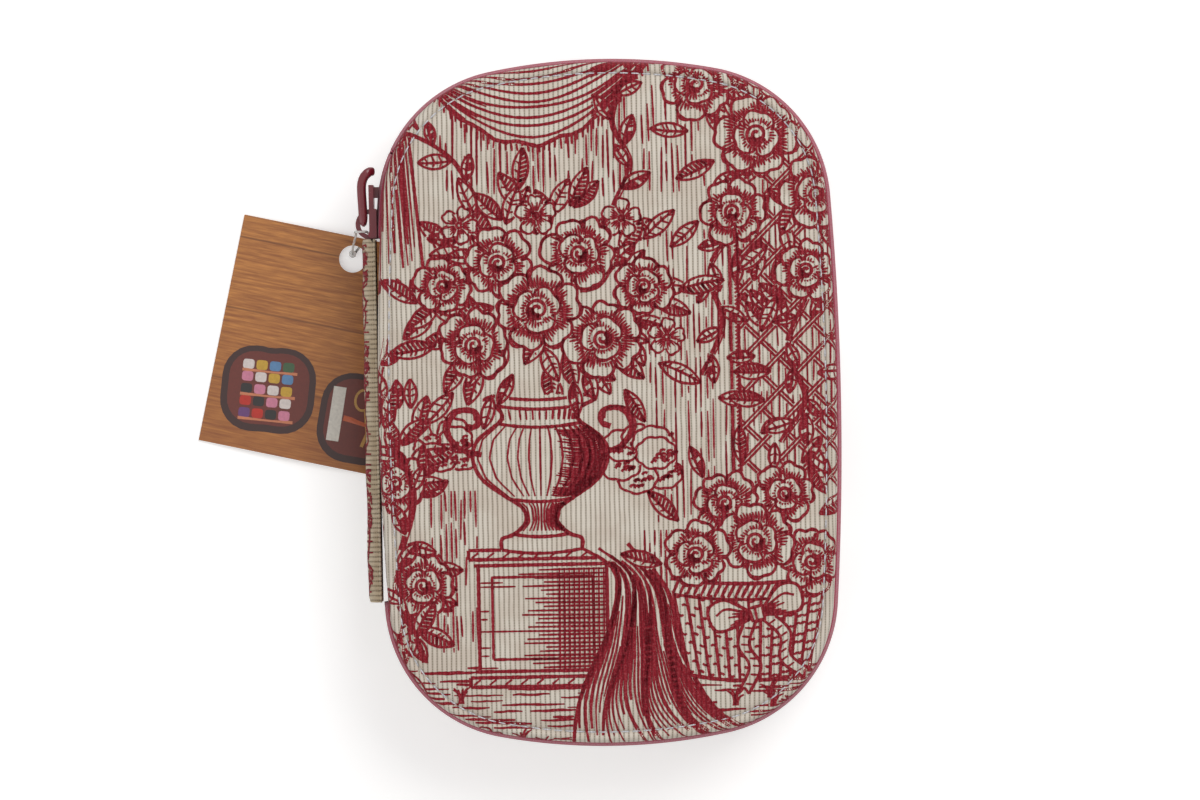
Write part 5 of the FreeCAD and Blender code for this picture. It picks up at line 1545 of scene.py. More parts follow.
def card_place(x, y, lift):
    """A point of the card, in millimetres from the middle of its hole, lifted off its underside."""
    middle, half = (tag_left + tag_right) / 2, (tag_right - tag_left) / 2
    rise = tag_curl * (1 - ((x - middle) / half) ** 2)
    c, s = math.cos(tag_turn), math.sin(tag_turn)
    return (tag_hole[0] + (x * c - y * s) * mm, tag_hole[1] + (x * s + y * c) * mm, (rise + lift) * mm)


def filled_card(outline, holes, spacing):
    """A flat shape meshed evenly, so that it can follow the card's curl."""
    spots = [tuple(spot) for ring in [outline] + holes for spot in ring]
    edges, base = [], 0
    for ring in [outline] + holes:
        edges += [(base + step, base + (step + 1) % len(ring)) for step in range(len(ring))]
        base += len(ring)
    low, high = np.min(outline, axis=0), np.max(outline, axis=0)
    for x in np.arange(low[0] + spacing / 2, high[0], spacing):
        for y in np.arange(low[1] + spacing / 2, high[1], spacing):
            clear = all(math.hypot(x - hx, y - hy) > spacing * 0.6 for ring in holes for hx, hy in ring)
            if clear and on_card((x, y), outline, holes):
                spots.append((x, y))
    meshed = delaunay_2d_cdt([Vector(spot) for spot in spots], edges, [], 0, 1e-5)
    verts, faces = meshed[0], meshed[2]
    kept = []
    for face in faces:
        centre = np.mean([verts[index] for index in face], axis=0)
        if on_card(centre, outline, holes):
            kept.append(tuple(face))
    return [tuple(vert) for vert in verts], kept


def inside_ring(spot, ring):
    """Whether a spot lies inside a closed ring of points."""
    within = False
    for (x0, y0), (x1, y1) in zip(ring, ring[1:] + ring[:1]):
        if (y0 > spot[1]) != (y1 > spot[1]) and spot[0] < (x1 - x0) * (spot[1] - y0) / (y1 - y0) + x0:
            within = not within
    return within


def on_card(spot, outline, holes):
    """Whether a spot lies on the card and outside its holes."""
    return inside_ring(spot, outline) and not any(inside_ring(spot, ring) for ring in holes)


def rounded_ring(x, y, width, height, corner, steps=6, turn=0.0):
    """A rounded rectangle as a closed ring of points."""
    ring = []
    for index, (sx, sy) in enumerate(((1, 1), (-1, 1), (-1, -1), (1, -1))):
        for step in range(steps + 1):
            angle = (index + step / steps) * math.pi / 2
            ring.append((sx * (width / 2 - corner) + corner * math.cos(angle),
                sy * (height / 2 - corner) + corner * math.sin(angle)))
    return [(float(px), float(py)) for px, py in turned(ring, turn, x, y)]


outline = []
corners = [(tag_left, tag_top), (tag_left, tag_foot), (tag_right, tag_foot), (tag_right, tag_top)]
for (x0, y0), (x1, y1) in zip(corners, corners[1:] + corners[:1]):
    outline += [(x0 + (x1 - x0) * step / 24, y0 + (y1 - y0) * step / 24) for step in range(24)]
punched = [(hole_radius * math.cos(step / 36 * 2 * math.pi),
    hole_radius * math.sin(step / 36 * 2 * math.pi)) for step in range(36)]
verts, faces = filled_card(outline, [punched], 1.6)
points = [card_place(x, y, card_thick) for x, y in verts] + [card_place(x, y, 0.0) for x, y in verts]
count = len(verts)
walls = []
for ring, base in ((outline, 0), (punched, len(outline))):
    for step in range(len(ring)):
        near, far = base + step, base + (step + 1) % len(ring)
        walls.append((near, far, far + count, near + count))
both = faces + [tuple(index + count for index in face[::-1]) for face in faces] + walls
piece = new_piece("swing_tag_card", points, both, smooth=False)
reworked(piece, lambda bare: bmesh.ops.recalc_face_normals(bare, faces=bare.faces))
lay_cloth_map(piece, np.array(verts + verts) * mm)

wood_print, tree, shader = new_finish("wood_printed_card", 0.42, Coat_Weight=0.15, Coat_Roughness=0.3)
place = add_node(tree, "UVMap", {}, uv_map="cloth").outputs[0]
stretch = add_node(tree, "Mapping", {"Vector": place, "Scale": (0.05, 0.9, 1.0),
    "Rotation": (0, 0, 0.05)}).outputs[0]
grain = speckle_of(tree, 1.6, 6.0, stretch, 0.65)
bands = add_node(tree, "TexWave", {"Vector": stretch, "Scale": 1.3, "Distortion": 5.0,
    "Detail": 3.0}).outputs[0]
colour = blend_of(tree, band_of(tree, grain, 0.3, 0.7), tint(132, 76, 36), tint(196, 132, 68))
colour = blend_of(tree, times(tree, bands, 0.3), colour, tint(156, 96, 48))
split = add_node(tree, "SeparateXYZ", {0: place})
board = sum_of(tree, "PINGPONG", sum_of(tree, "DIVIDE", split.outputs[1], 17.0), 0.5)
gap = band_of(tree, board, 0.02, 0.004)
colour = blend_of(tree, times(tree, gap, 0.6), colour, tint(84, 44, 22))
shade = band_of(tree, split.outputs[1], -10.0, -44.0)
colour = blend_of(tree, times(tree, shade, 0.35), colour, tint(120, 62, 26))
colour_with(tree, shader, colour)
relief(tree, shader, grain, 0.02 * mm, 0.3)
hand_over(piece, wood_print, "tag", "tag_card", "swing_tag")


def print_finish(name, colour):
    """Printing ink on coated card, with a fine screen grain."""
    material, tree, shader = new_finish(name, 0.4, Coat_Weight=0.15, Coat_Roughness=0.3)
    dark = tuple(channel * 0.6 for channel in colour[:3]) + (1,)
    colour_with(tree, shader, blend_of(tree, speckle_of(tree, 1400.0, 3.0), dark, colour))
    return material


def print_patches(name, colour, rings, lift):
    """Flat printed patches of one colour on the card."""
    patches = Gathered()
    for ring in rings:
        verts, faces = filled_card(ring, [], 1.6)
        patches.add([card_place(x, y, card_thick + lift) for x, y in verts], faces)
    hand_over(patches.finish(name), print_finish(name + "_ink", colour), "tag", "tag_card")


def strip_ring(x0, y0, x1, y1, width):
    """A straight bar as a closed ring."""
    size = math.hypot(x1 - x0, y1 - y0)
    nx, ny = -(y1 - y0) / size * width / 2, (x1 - x0) / size * width / 2
    return [(x0 - nx, y0 - ny), (x1 - nx, y1 - ny), (x1 + nx, y1 + ny), (x0 + nx, y0 + ny)]


def loop_rings(x, y, wide, tall, width):
    """A printed ring made of short bars."""
    spots = [(x + wide * math.cos(step / 14 * 2 * math.pi), y + tall * math.sin(step / 14 * 2 * math.pi))
        for step in range(15)]
    return [strip_ring(*first, *second, width) for first, second in zip(spots, spots[1:])]


print_patches("pictured_case", tint(52, 20, 16), [rounded_ring(-13.6, -34.6, 22.5, 20.5, 7.5, turn=0.1),
    rounded_ring(9.2, -37.2, 19.5, 21.5, 7.5, turn=0.03)], 0.015)
print_patches("pictured_lining", tint(104, 40, 30), [rounded_ring(-13.6, -34.4, 19.3, 17.4, 6, turn=0.1),
    rounded_ring(9.3, -37.0, 16.6, 18.4, 6, turn=0.03)], 0.03)
spool_colours = {
    "white": (226, 214, 210), "red": (190, 44, 30), "blue": (96, 138, 182), "rose": (212, 132, 158),
    "violet": (104, 62, 118), "yellow": (206, 164, 60), "black": (30, 24, 24), "green": (62, 92, 62)}
names = list(spool_colours)
pictured = {name: [] for name in names}
for row in range(5):
    for column in range(4):
        x, y = -18.8 + column * 3.2, -28.9 - row * 2.9
        slant = turned([(x + 13.6, y + 34.6)], 0.1, -13.6, -34.6)[0]
        pictured[names[(row * 3 + column * 5) % 8]].append(rounded_ring(*slant, 2.7, 2.3, 0.6, 2, 0.1))
for name in names:
    print_patches("pictured_thread_" + name, tint(*spool_colours[name]), pictured[name], 0.045)
print_patches("pictured_elastics", tint(206, 128, 92),
    [strip_ring(*turned([(-6.6, y + 34.6)], 0.1, -13.6, -34.6)[0],
    *turned([(6.6, y + 34.6)], 0.1, -13.6, -34.6)[0], 0.7) for y in (-30.3, -36.1, -41.9)], 0.06)
print_patches("pictured_measure", tint(228, 224, 214), [strip_ring(3.2, -30.5, 3.8, -43.5, 3.0)], 0.045)
print_patches("pictured_scissors", tint(198, 152, 82),
    loop_rings(9.2, -32.6, 1.9, 2.5, 0.6) + loop_rings(13.9, -32.6, 1.9, 2.5, 0.6)
    + [strip_ring(10.2, -34.8, 12.6, -43.6, 0.8), strip_ring(12.9, -34.8, 10.9, -43.6, 0.8)], 0.045)
print_patches("pictured_band", tint(196, 92, 50), [strip_ring(5.4, -37.6, 16.4, -38.6, 1.3)], 0.06)

bead_place = (tag_hole[0], tag_hole[1] + 1.2 * mm)
strand_y = pin_place[1] - 1.75 * mm
far_x, near_x = -half_width - 4.86 * mm, -half_width - 2.06 * mm
over_crown = 20.0 * mm
stations = [(bead_place[0], bead_place[1], 1.7 * mm),
    (bead_place[0] + 0.1 * mm, bead_place[1] + 1.2 * mm, 3.8 * mm), (far_x, strand_y, 9.5 * mm),
    (far_x, strand_y, over_crown), (near_x, strand_y, over_crown), (near_x, strand_y, 0.44 * mm),
    (bead_place[0] + 0.6 * mm, bead_place[1] + 0.3 * mm, 0.44 * mm)]
turns = (4, 4, 1.38, 1.38, 1.2)
route = [np.array(stations[0])]
for before, here, after, turn in zip(stations, stations[1:], stations[2:], turns):
    before, here, after = np.array(before), np.array(here), np.array(after)
    reach = [min(turn * mm, np.linalg.norm(end - here) * 0.48) for end in (before, after)]
    start = here + (before - here) / np.linalg.norm(before - here) * reach[0]
    stop = here + (after - here) / np.linalg.norm(after - here) * reach[1]
    for step in range(9):
        t = step / 8
        route.append(start * (1 - t) ** 2 + here * 2 * t * (1 - t) + stop * t * t)
route.append(np.array(stations[-1]))
loop = Gathered()
loop.add(*tube_along(route, 0.29 * mm, 10))
bead = [(0.0, 0.18), (0.62, 0.2), (0.9, 0.5), (0.95, 1.15), (0.86, 1.75), (0.5, 2.05), (0.0, 2.1)]
beads = []
for radius, level in bead:
    for step in range(16):
        angle = step / 8 * math.pi
        beads.append((bead_place[0] + max(radius, 0.01) * mm * math.cos(angle),
            bead_place[1] + max(radius, 0.01) * mm * math.sin(angle), level * mm))
loop.add(beads, ring_faces(len(bead), 16))
piece = loop.finish("nylon_tag_loop")
nylon, tree, shader = new_finish("clear_nylon", 0.25, Transmission_Weight=0.55, IOR=1.5)
colour_with(tree, shader, blend_of(tree, speckle_of(tree, 500.0), tint(232, 232, 230), tint(250, 250, 248)))
relief(tree, shader, speckle_of(tree, 1200.0), 0.02 * mm, 0.4)
hand_over(piece, nylon, "slider", "nylon_filament", "tag_fastener")


# Thread reels: three rows of four in the lid, held by elastics. White moulded plastic spools, each
# wound full with polyester thread of one colour.

reel_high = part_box("reel_row_1")[1]
spool_radius = 6.75
spool_half = 12.0
spool_rim = 1.3
barrel_radius = 3.2
wound_radius = 5.95
reel_z = reel_high.z - spool_radius * mm
reel_places = (22.5, 7.5, -7.5, -22.5)


def turned_round(section, place, axis, sides=32, closed=True):
    """A turned piece: its section is (radius, along) in millimetres, and its axis is x, y or z."""
    points = []
    for radius, along in section:
        for step in range(sides):
            angle = 2 * math.pi * step / sides
            across, up = radius * math.cos(angle), radius * math.sin(angle)
            spot = {"x": (along, across, up), "y": (up, along, across), "z": (across, up, along)}[axis]
            points.append([start + step * mm for start, step in zip(place, spot)])
    faces = ring_faces(len(section), sides)
    if closed:
        faces += closing_ring(len(section), sides)
    else:
        faces += end_caps(sides, len(points))
    return points, faces


def plastic_finish(name, colour, roughness=0.38, **sockets):
    """Moulded plastic: faint flow marks, fine surface texture."""
    material, tree, shader = new_finish(name, roughness, **sockets)
    dark = tuple(channel * 0.82 for channel in colour[:3]) + (1,)
    colour_with(tree, shader, blend_of(tree, band_of(tree, speckle_of(tree, 160.0, 4.0), 0.3, 0.7), dark,
        colour))
    relief(tree, shader, speckle_of(tree, 2600.0, 2.0), 0.015 * mm, 0.4)
    return material


def wound_finish(name, colour):
    """Sewing thread wound on a reel: fine slanting strands, painted shade in the line between them, silky
    shine.
    """
    material, tree, shader = new_finish(name, 0.5, Sheen_Weight=0.35, Specular_IOR_Level=0.4)
    place = solid_place(tree)
    split = add_node(tree, "SeparateXYZ", {0: place})
    slant = sum_of(tree, "MULTIPLY_ADD", split.outputs[0], 0.06, split.outputs[1])
    slant = sum_of(tree, "MULTIPLY_ADD", speckle_of(tree, 300.0, 2.0, place), 0.0004, slant)
    strand = sum_of(tree, "PINGPONG", sum_of(tree, "DIVIDE", slant, 0.00036), 0.5)
    crest = band_of(tree, strand, 0.04, 0.4)
    dark = tuple(channel * 0.45 for channel in colour[:3]) + (1,)
    drift = speckle_of(tree, 90.0, 3.0, place)
    # Painted shade: the grooves between the strands are darkened towards the dark colour.
    share = sum_of(tree, "MULTIPLY_ADD", drift, 0.35, times(tree, crest, 0.7))
    colour_with(tree, shader, blend_of(tree, share, dark, colour))
    relief(tree, shader, crest, 0.09 * mm, 0.8)
    return material


reel_white = plastic_finish("reel_plastic", tint(240, 236, 228))
spool_section = [(1.5, -spool_half + 0.2), (1.8, -spool_half), (5.9, -spool_half),
    (6.5, -spool_half + 0.12), (spool_radius, -spool_half + 0.45),
    (spool_radius, -spool_half + spool_rim - 0.35), (6.5, -spool_half + spool_rim - 0.06),
    (4.2, -spool_half + spool_rim), (barrel_radius, -spool_half + spool_rim + 0.4)]
spool_section += [(radius, -along) for radius, along in spool_section[::-1]]

reel_rows = [
    [("purple", (98, 52, 112)), ("olive", (84, 82, 46)), ("black", (34, 31, 33)),
        ("pale_blue", (186, 208, 230))],
    [("white", (238, 236, 230)), ("mustard", (206, 156, 52)), ("lilac", (172, 148, 194)),
        ("red", (178, 34, 42))],
    [("brown", (80, 48, 34)), ("magenta", (186, 40, 110)), ("ivory", (238, 230, 212)),
        ("light_pink", (238, 186, 196))]]
for row, threads in enumerate(reel_rows, start=1):
    low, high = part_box("reel_row_%d" % row)
    row_y = (low.y + high.y) / 2
    reels = Gathered()
    for x, (colour_name, colour) in zip(reel_places, threads):
        reels.add(*turned_round(spool_section, (x * mm, row_y, reel_z), "y", 40))
        inner = spool_half - spool_rim
        windings = 44
        section = [(barrel_radius + 0.1, -inner + 0.02)]
        for turn in range(windings + 1):
            share = turn / windings * 2 - 1
            swell = wound_radius - 0.32 * abs(share) ** 5 + (0.035 if turn % 2 else -0.035)
            section.append((swell, share * (inner - 0.08)))
        section.append((barrel_radius + 0.1, inner - 0.02))
        points, faces = turned_round(section, (x * mm, row_y, reel_z), "y", 36)
        piece = new_piece("wound_thread_" + colour_name, points, faces)
        hand_over(piece, wound_finish("thread_" + colour_name, tint(*colour)), "lid",
            "thread_" + colour_name, "thread_" + colour_name)
    hand_over(reels.finish("reels_row_%d" % row), reel_white, "lid", "reel_plastic", "reel_row_%d" % row)


# Elastics: flat ribbed bands stitched down to the lining beside what they hold. Those in the lid and
# over the tape measure are peach, the one over the scissors is orange-brown.

band_wide = 5.6
band_thick = 0.55


def elastic_finish(name, light, dark):
    """Woven elastic: fine cords along its length, crossed by close ribs."""
    material, tree, shader = new_finish(name, 0.78, Sheen_Weight=0.25)
    place, split = cloth_place(tree)
    cord, rib = split.outputs[1], split.outputs[0]
    cord = band_of(tree, sum_of(tree, "PINGPONG", sum_of(tree, "DIVIDE", cord, 0.7), 0.5), 0.05, 0.4)
    rib = band_of(tree, sum_of(tree, "PINGPONG", sum_of(tree, "DIVIDE", rib, 0.5), 0.5), 0.05, 0.4)
    knit = sum_of(tree, "MULTIPLY_ADD", cord, 0.65, times(tree, rib, 0.35))
    drift = speckle_of(tree, 0.35, 3.0, place)
    share = sum_of(tree, "MULTIPLY_ADD", drift, 0.4, times(tree, knit, 0.6))
    colour_with(tree, shader, blend_of(tree, share, dark, light))
    relief(tree, shader, knit, 0.14 * mm, 0.8)
    return material


def elastic_band(name, path, place, along_x, material, slot, body, node, thread):
    """A band along a path of (across, level) middles, in millimetres; place is
    where its own middle lies on the other axis."""
    path = np.array(path, float)
    run = run_along(path)
    at = np.linspace(0, run[-1], max(8, round(run[-1] / 0.55)))
    path = np.column_stack([np.interp(at, run, path[:, axis]) for axis in (0, 1)])
    way = np.gradient(path, axis=0)
    way /= np.linalg.norm(way, axis=1)[:, None]
    side = np.column_stack([-way[:, 1], way[:, 0]])
    half, thick = band_wide / 2, band_thick / 2
    section = [(-half, 0.0), (-half + 0.12, thick), (half - 0.12, thick), (half, 0.0),
        (half - 0.12, -thick), (-half + 0.12, -thick)]

    def spread(across, wide, level):
        return [value * mm for value in ((across, wide, level) if along_x else (wide, across, level))]

    points, flat = [], []
    for spot, normal, along in zip(path, side, at):
        for wide, out in section:
            across, level = spot + normal * out
            points.append(spread(across, place + wide, level))
            flat.append((along * mm, wide * mm))
    faces = ring_faces(len(path), len(section))
    faces += end_caps(6, len(points))
    piece = new_piece(name, points, faces)
    reworked(piece, lambda bare: bmesh.ops.recalc_face_normals(bare, faces=bare.faces))
    lay_cloth_map(piece, np.array(flat))
    hand_over(piece, material, body, slot, node)
    seams = Gathered()
    for spot, normal in ((path[2], side[2]), (path[-3], side[-3])):
        for index in range(5):
            wide = -half + 0.7 + index * (2 * half - 1.4) / 4
            ends = []
            for reach in (-0.35, 0.35):
                across, level = spot + normal * (thick * thread) + (0, reach)
                ends.append(spread(across, place + wide, level))
            rise = spread(normal[0] * thread * 0.15, 0, normal[1] * thread * 0.15)
            stitch(seams, ends[0], ends[1], rise, 0.12 * mm)
    hand_over(seams.finish(name + "_stitches"), material, body, slot)


def arc_path(x, z, radius, start, stop, steps=14):
    """Points of an arc given by its start and stop angles in degrees."""
    turns = [math.radians(start + (stop - start) * step / steps) for step in range(steps + 1)]
    return [(x + radius * math.cos(turn), z + radius * math.sin(turn)) for turn in turns]


peach_elastic = elastic_finish("peach_elastic", tint(236, 176, 146), tint(200, 128, 98))
brown_elastic = elastic_finish("orange_brown_elastic", tint(190, 108, 54), tint(128, 66, 30))
lid_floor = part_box("pin_pad")[1].z / mm
base_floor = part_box("tape_measure")[0].z / mm
reel_level = reel_z / mm
wrap = 6.35
for row in range(1, 4):
    low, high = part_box("reel_band_%d" % row)
    path = []
    for left in (-22.5, 7.5):
        path += [(left - wrap - 0.05, lid_floor - 0.1)]
        path += arc_path(left, reel_level, wrap, 180, 270)
        path += [(left + 7.5, reel_level - wrap + 0.55)]
        path += arc_path(left + 15, reel_level, wrap, 270, 360)
        path += [(left + 15 + wrap + 0.05, lid_floor - 0.1 if left > 0 else lid_floor - 0.4)]
    elastic_band("reel_elastic_%d" % row, path, (low.y + high.y) / 2 / mm, True, peach_elastic,
        "elastic_peach", "lid", "reel_band_%d" % row, -1)

tube_low, tube_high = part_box("needle_tube")
tube_y = (tube_low.y + tube_high.y) / 2 / mm
tube_z = (tube_low.z + tube_high.z) / 2 / mm
path = [(tube_y - 3.56, lid_floor - 0.1)] + arc_path(tube_y, tube_z, 3.56, 180, 360, 24)
path += [(tube_y + 3.56, lid_floor - 0.1)]
elastic_band("needle_tube_elastic", path, 0.0, False, peach_elastic, "elastic_peach", "lid",
    "needle_tube_band", -1)

low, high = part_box("pin_band")
pin_level = low.z / mm + band_thick / 2
path = [(-12.4, lid_floor - 0.1), (-12.4, pin_level + 1.6)] + arc_path(-11.2, pin_level + 1.2, 1.2, 180,
    270, 8)
path += arc_path(11.2, pin_level + 1.2, 1.2, 270, 360, 8) + [(12.4, pin_level + 1.6),
    (12.4, lid_floor - 0.1)]
elastic_band("pin_elastic", path, (low.y + high.y) / 2 / mm, True, peach_elastic, "elastic_peach", "lid",
    "pin_band", -1)

low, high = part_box("tape_measure_band")
top = high.z / mm - band_thick / 2
left, right = low.x / mm + 0.32, high.x / mm - 0.32
path = [(left, base_floor + 0.1), (left, top - 1.0)] + arc_path(left + 0.7, top - 0.7, 0.7, 180, 90, 6)
path += arc_path(right - 0.7, top - 0.7, 0.7, 90, 0, 6) + [(right, top - 1.0), (right, base_floor + 0.1)]
elastic_band("tape_measure_elastic", path, (low.y + high.y) / 2 / mm, True, peach_elastic, "elastic_peach",
    "base", "tape_measure_band", 1)

low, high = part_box("scissor_band")
top = high.z / mm - band_thick / 2
path = through([(low.x / mm, base_floor + 0.32), (-12, base_floor + 0.32), (-8.2, base_floor + 0.36),
    (-6.25, base_floor + 1.0), (-6.1, top - 1.3), (-4.8, top - 0.05), (0, top), (6, top), (12, top),
    (16.6, top - 0.05), (18.15, top - 1.3), (18.3, base_floor + 1.0), (20.4, base_floor + 0.36),
    (28, base_floor + 0.32), (high.x / mm, base_floor + 0.32)], 6)
elastic_band("scissor_elastic", path, (low.y + high.y) / 2 / mm, True, brown_elastic, "elastic_brown",
    "base", "scissor_band", 1)


# Needle tube: keeps the needles in the lid. Clear red moulded plastic in two parts, with a push-on
# cap, lying under its own elastic.

tube_red = plastic_finish("clear_red_plastic", tint(196, 30, 44), 0.22, Transmission_Weight=0.35, IOR=1.49)
cap_low, cap_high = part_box("needle_tube_cap")
start, split, stop = tube_low.x / mm, cap_low.x / mm - 0.1, cap_high.x / mm
section = [(0.01, start + 0.3), (2.0, start + 0.05), (2.8, start), (3.1, start + 0.25), (3.2, start + 0.7),
    (3.2, split - 0.2), (3.1, split), (2.66, split), (2.66, split + 4), (2.2, split + 4),
    (2.2, start + 0.6), (0.01, start + 0.6)]
hand_over(
    new_piece("needle_tube_body", *turned_round(section, (0, tube_y * mm, tube_z * mm), "x", 40, False)),
    tube_red, "lid", "tube_red", "needle_tube")
section = [(2.72, split + 0.1), (3.1, split + 0.1), (3.2, split + 0.3)]
for ring in range(6):
    along = split + 1.4 + ring * 0.7
    section += [(3.2, along), (3.06, along + 0.15), (3.06, along + 0.3), (3.2, along + 0.45)]
section += [(3.2, stop - 0.7), (3.1, stop - 0.25), (2.8, stop), (0.01, stop), (0.01, stop - 0.5),
    (2.72, stop - 0.6)]
hand_over(
    new_piece("needle_tube_lid", *turned_round(section, (0, tube_y * mm, tube_z * mm), "x", 40)),
    tube_red, "lid", "tube_red", "needle_tube_cap")


# Pin pad: a small felt cushion glued to the lid's lining. It is blown up from a flat form, so that it
# crowns between its sewn edges, and five glass-headed pins lie across it under their elastic.

pad_low, pad_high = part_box("pin_pad")
pad_size = pad_high - pad_low
pad_middle = (pad_low + pad_high) / 2


def blown_up(piece, pressure, steps, most):
    """Lets a closed form swell like a filled cushion; no point moves further than the given distance."""
    scene = bpy.context.scene
    rest = np.array([vert.co for vert in piece.data.vertices])
    swell = piece.modifiers.new("swell", "CLOTH")
    swell.settings.use_pressure = True
    swell.settings.uniform_pressure_force = pressure
    swell.settings.effector_weights.gravity = 0
    swell.settings.tension_stiffness = 40
    swell.settings.compression_stiffness = 40
    swell.settings.bending_stiffness = 2
    swell.settings.quality = 6
    swell.point_cache.frame_start = 1
    swell.point_cache.frame_end = steps
    for frame_number in range(1, steps + 1):
        scene.frame_set(frame_number)
    held = piece.evaluated_get(bpy.context.evaluated_depsgraph_get())
    moved = np.array([vert.co for vert in held.data.vertices])
    piece.modifiers.remove(swell)
    scene.frame_set(1)
    shift = moved - rest
    size = np.linalg.norm(shift, axis=1)
    shift *= np.minimum(1, most / np.maximum(size, 1e-9))[:, None]
    return rest + shift


block = bmesh.new()
bmesh.ops.create_grid(block, x_segments=24, y_segments=15, size=0.5)
for vert in block.verts:
    x, y = vert.co.x * 2, vert.co.y * 2
    pinch = 1 - 0.05 * x * x * y * y
    edge = max(0.0, 1 - max(abs(x), abs(y)) ** 4)
    vert.co = (x * pad_size.x * 0.49 * pinch, y * pad_size.y * 0.49 * pinch,
        -pad_size.z * (0.42 + 0.2 * edge))
floor_verts = bmesh.ops.duplicate(block, geom=block.verts[:] + block.edges[:] + block.faces[:])["geom"]
for item in floor_verts:
    if isinstance(item, bmesh.types.BMVert):
        item.co.z = -0.02 * pad_size.z
loops = [edge for edge in block.edges if edge.is_boundary]
bmesh.ops.bridge_loops(block, edges=loops)
bmesh.ops.recalc_face_normals(block, faces=block.faces)
mesh = bpy.data.meshes.new("pin_cushion")
block.to_mesh(mesh)
block.free()
piece = bpy.data.objects.new("pin_cushion", mesh)
bpy.context.scene.collection.objects.link(piece)
swelled = blown_up(piece, 3.0, 16, 0.9 * mm)
for vert, place in zip(mesh.vertices, swelled):
    vert.co = place
for vert in mesh.vertices:
    deep = min(0.0, max(vert.co.z, -pad_size.z * 0.985))
    under_pins = 0.35 * mm * math.exp(-(vert.co.y / (3.2 * mm)) ** 2) if deep < -pad_size.z * 0.5 else 0
    flat_x = max(-pad_size.x / 2, min(pad_size.x / 2, vert.co.x))
    flat_y = max(-pad_size.y / 2, min(pad_size.y / 2, vert.co.y))
    vert.co = (flat_x + pad_middle.x, flat_y + pad_middle.y, deep + under_pins + pad_high.z)
mesh.shade_smooth()
smooth = piece.modifiers.new("smooth", "SUBSURF")
smooth.levels = smooth.render_levels = 1
pink_felt, tree, shader = new_finish("pale_pink_felt", 0.95, Sheen_Weight=0.6)
fuzz = speckle_of(tree, 900.0, 6.0)
colour_with(tree, shader, blend_of(tree, band_of(tree, fuzz, 0.3, 0.7), tint(216, 178, 174),
    tint(242, 216, 212)))
relief(tree, shader, fuzz, 0.12 * mm, 0.9)
mesh.materials.append(pink_felt)
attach(piece, "lid")
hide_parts("pin_pad")

whip = Gathered()
for x, y, turn in [(-0.47, y / 10, 0) for y in range(-4, 5)] + [(0.47, y / 10, 0) for y in range(-4, 5)] \
    + [(x / 16, -0.46, 1) for x in range(-7, 8)] + [(x / 16, 0.46, 1) for x in range(-7, 8)]:
    spot = (pad_middle.x + x * pad_size.x, pad_middle.y + y * pad_size.y)
    reach = ((0, 0.5 * mm) if turn else (0.5 * mm, 0))
    level = pad_high.z - pad_size.z * 0.62
    stitch(whip, (spot[0] - reach[0], spot[1] - reach[1], level),
        (spot[0] + reach[0], spot[1] + reach[1], level), (0, 0, -0.3 * mm), 0.16 * mm)
hand_over(
    whip.finish("pin_cushion_stitches"),
    thread_finish("rose_whip_thread", tint(196, 92, 104)), "lid", "cushion_felt")

pins_low, pins_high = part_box("pins")
pin_z = pad_low.z - 0.4 * mm
head_y = pins_high.y / mm - 1.3
shanks = Gathered()
steel, tree, shader = new_finish("bright_pin_steel", 0.22, Metallic=1.0)
colour_with(tree, shader, blend_of(tree, speckle_of(tree, 800.0, 3.0), tint(176, 176, 180),
    tint(214, 214, 216)))
relief(tree, shader, speckle_of(tree, 3000.0), 0.01 * mm, 0.3)
heads = ((196, 38, 48), (240, 236, 226), (44, 92, 160), (226, 176, 52), (60, 130, 84))
for index, colour in enumerate(heads):
    x = (index - 2) * 4.0
    section = [(0.02, pins_low.y / mm), (0.12, pins_low.y / mm + 1.2), (0.3, pins_low.y / mm + 3.5),
        (0.33, head_y)]
    shanks.add(*turned_round(section, (x * mm, 0, pin_z), "y", 12, False))
    ball = [(max(0.02, 1.26 * math.sin(step / 12 * math.pi)), head_y - 1.26 * math.cos(step / 12 * math.pi))
        for step in range(13)]
    piece = new_piece("pin_head_%d" % (index + 1), *turned_round(ball, (x * mm, 0, pin_z), "y", 20, False))
    hand_over(piece, plastic_finish("glass_head_%d" % (index + 1), tint(*colour), 0.15, Coat_Weight=0.6),
        "lid", "pin_steel")
hand_over(shanks.finish("pin_shanks"), steel, "lid", "pin_steel", "pins")


# Tape measure: one long white ribbon folded to and fro into a flat stack, printed with centimetre
# numbers and division marks; its free end has a small brass cap.

stack_low, stack_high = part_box("tape_measure")
layers = 8
layer = (stack_high.z - stack_low.z) / layers
ribbon_half = (stack_high.x - stack_low.x) / 2 - 0.1 * mm
stack_x = (stack_high.x + stack_low.x) / 2
line = []
for index in range(layers):
    level = stack_low.z + layer * (index + 0.5)
    ends = (stack_low.y + layer * 0.6, stack_high.y - layer * 0.6)
    start, stop = ends if index % 2 == 0 else ends[::-1]
    for step in range(25):
        share = step / 24
        sag = 0.04 * mm * math.sin(share * 9 + index * 2)
        line.append((start + (stop - start) * share, level + sag))
    if index < layers - 1:
        way = 1 if index % 2 == 0 else -1
        line += [(stop + way * layer * 0.55 * math.sin(turn),
            level + layer * 0.5 - layer * 0.5 * math.cos(turn)) for turn in (0.5, 1.1, 1.57, 2.04, 2.64)]
line = np.array(line)
way = np.gradient(line, axis=0)
way /= np.linalg.norm(way, axis=1)[:, None]
side = np.column_stack([-way[:, 1], way[:, 0]]) * layer * 0.38
points, flat = [], []
run = run_along(line)
for spot, normal, along in zip(line, side, run):
    for across, out in ((-1, 0.5), (-0.98, 1), (0.98, 1), (1, 0.5), (1, -0.5), (0.98, -1), (-0.98, -1),
            (-1, -0.5)):
        y, z = spot + normal * out
        points.append((stack_x + across * ribbon_half, y, z))
        flat.append((along, across * ribbon_half))
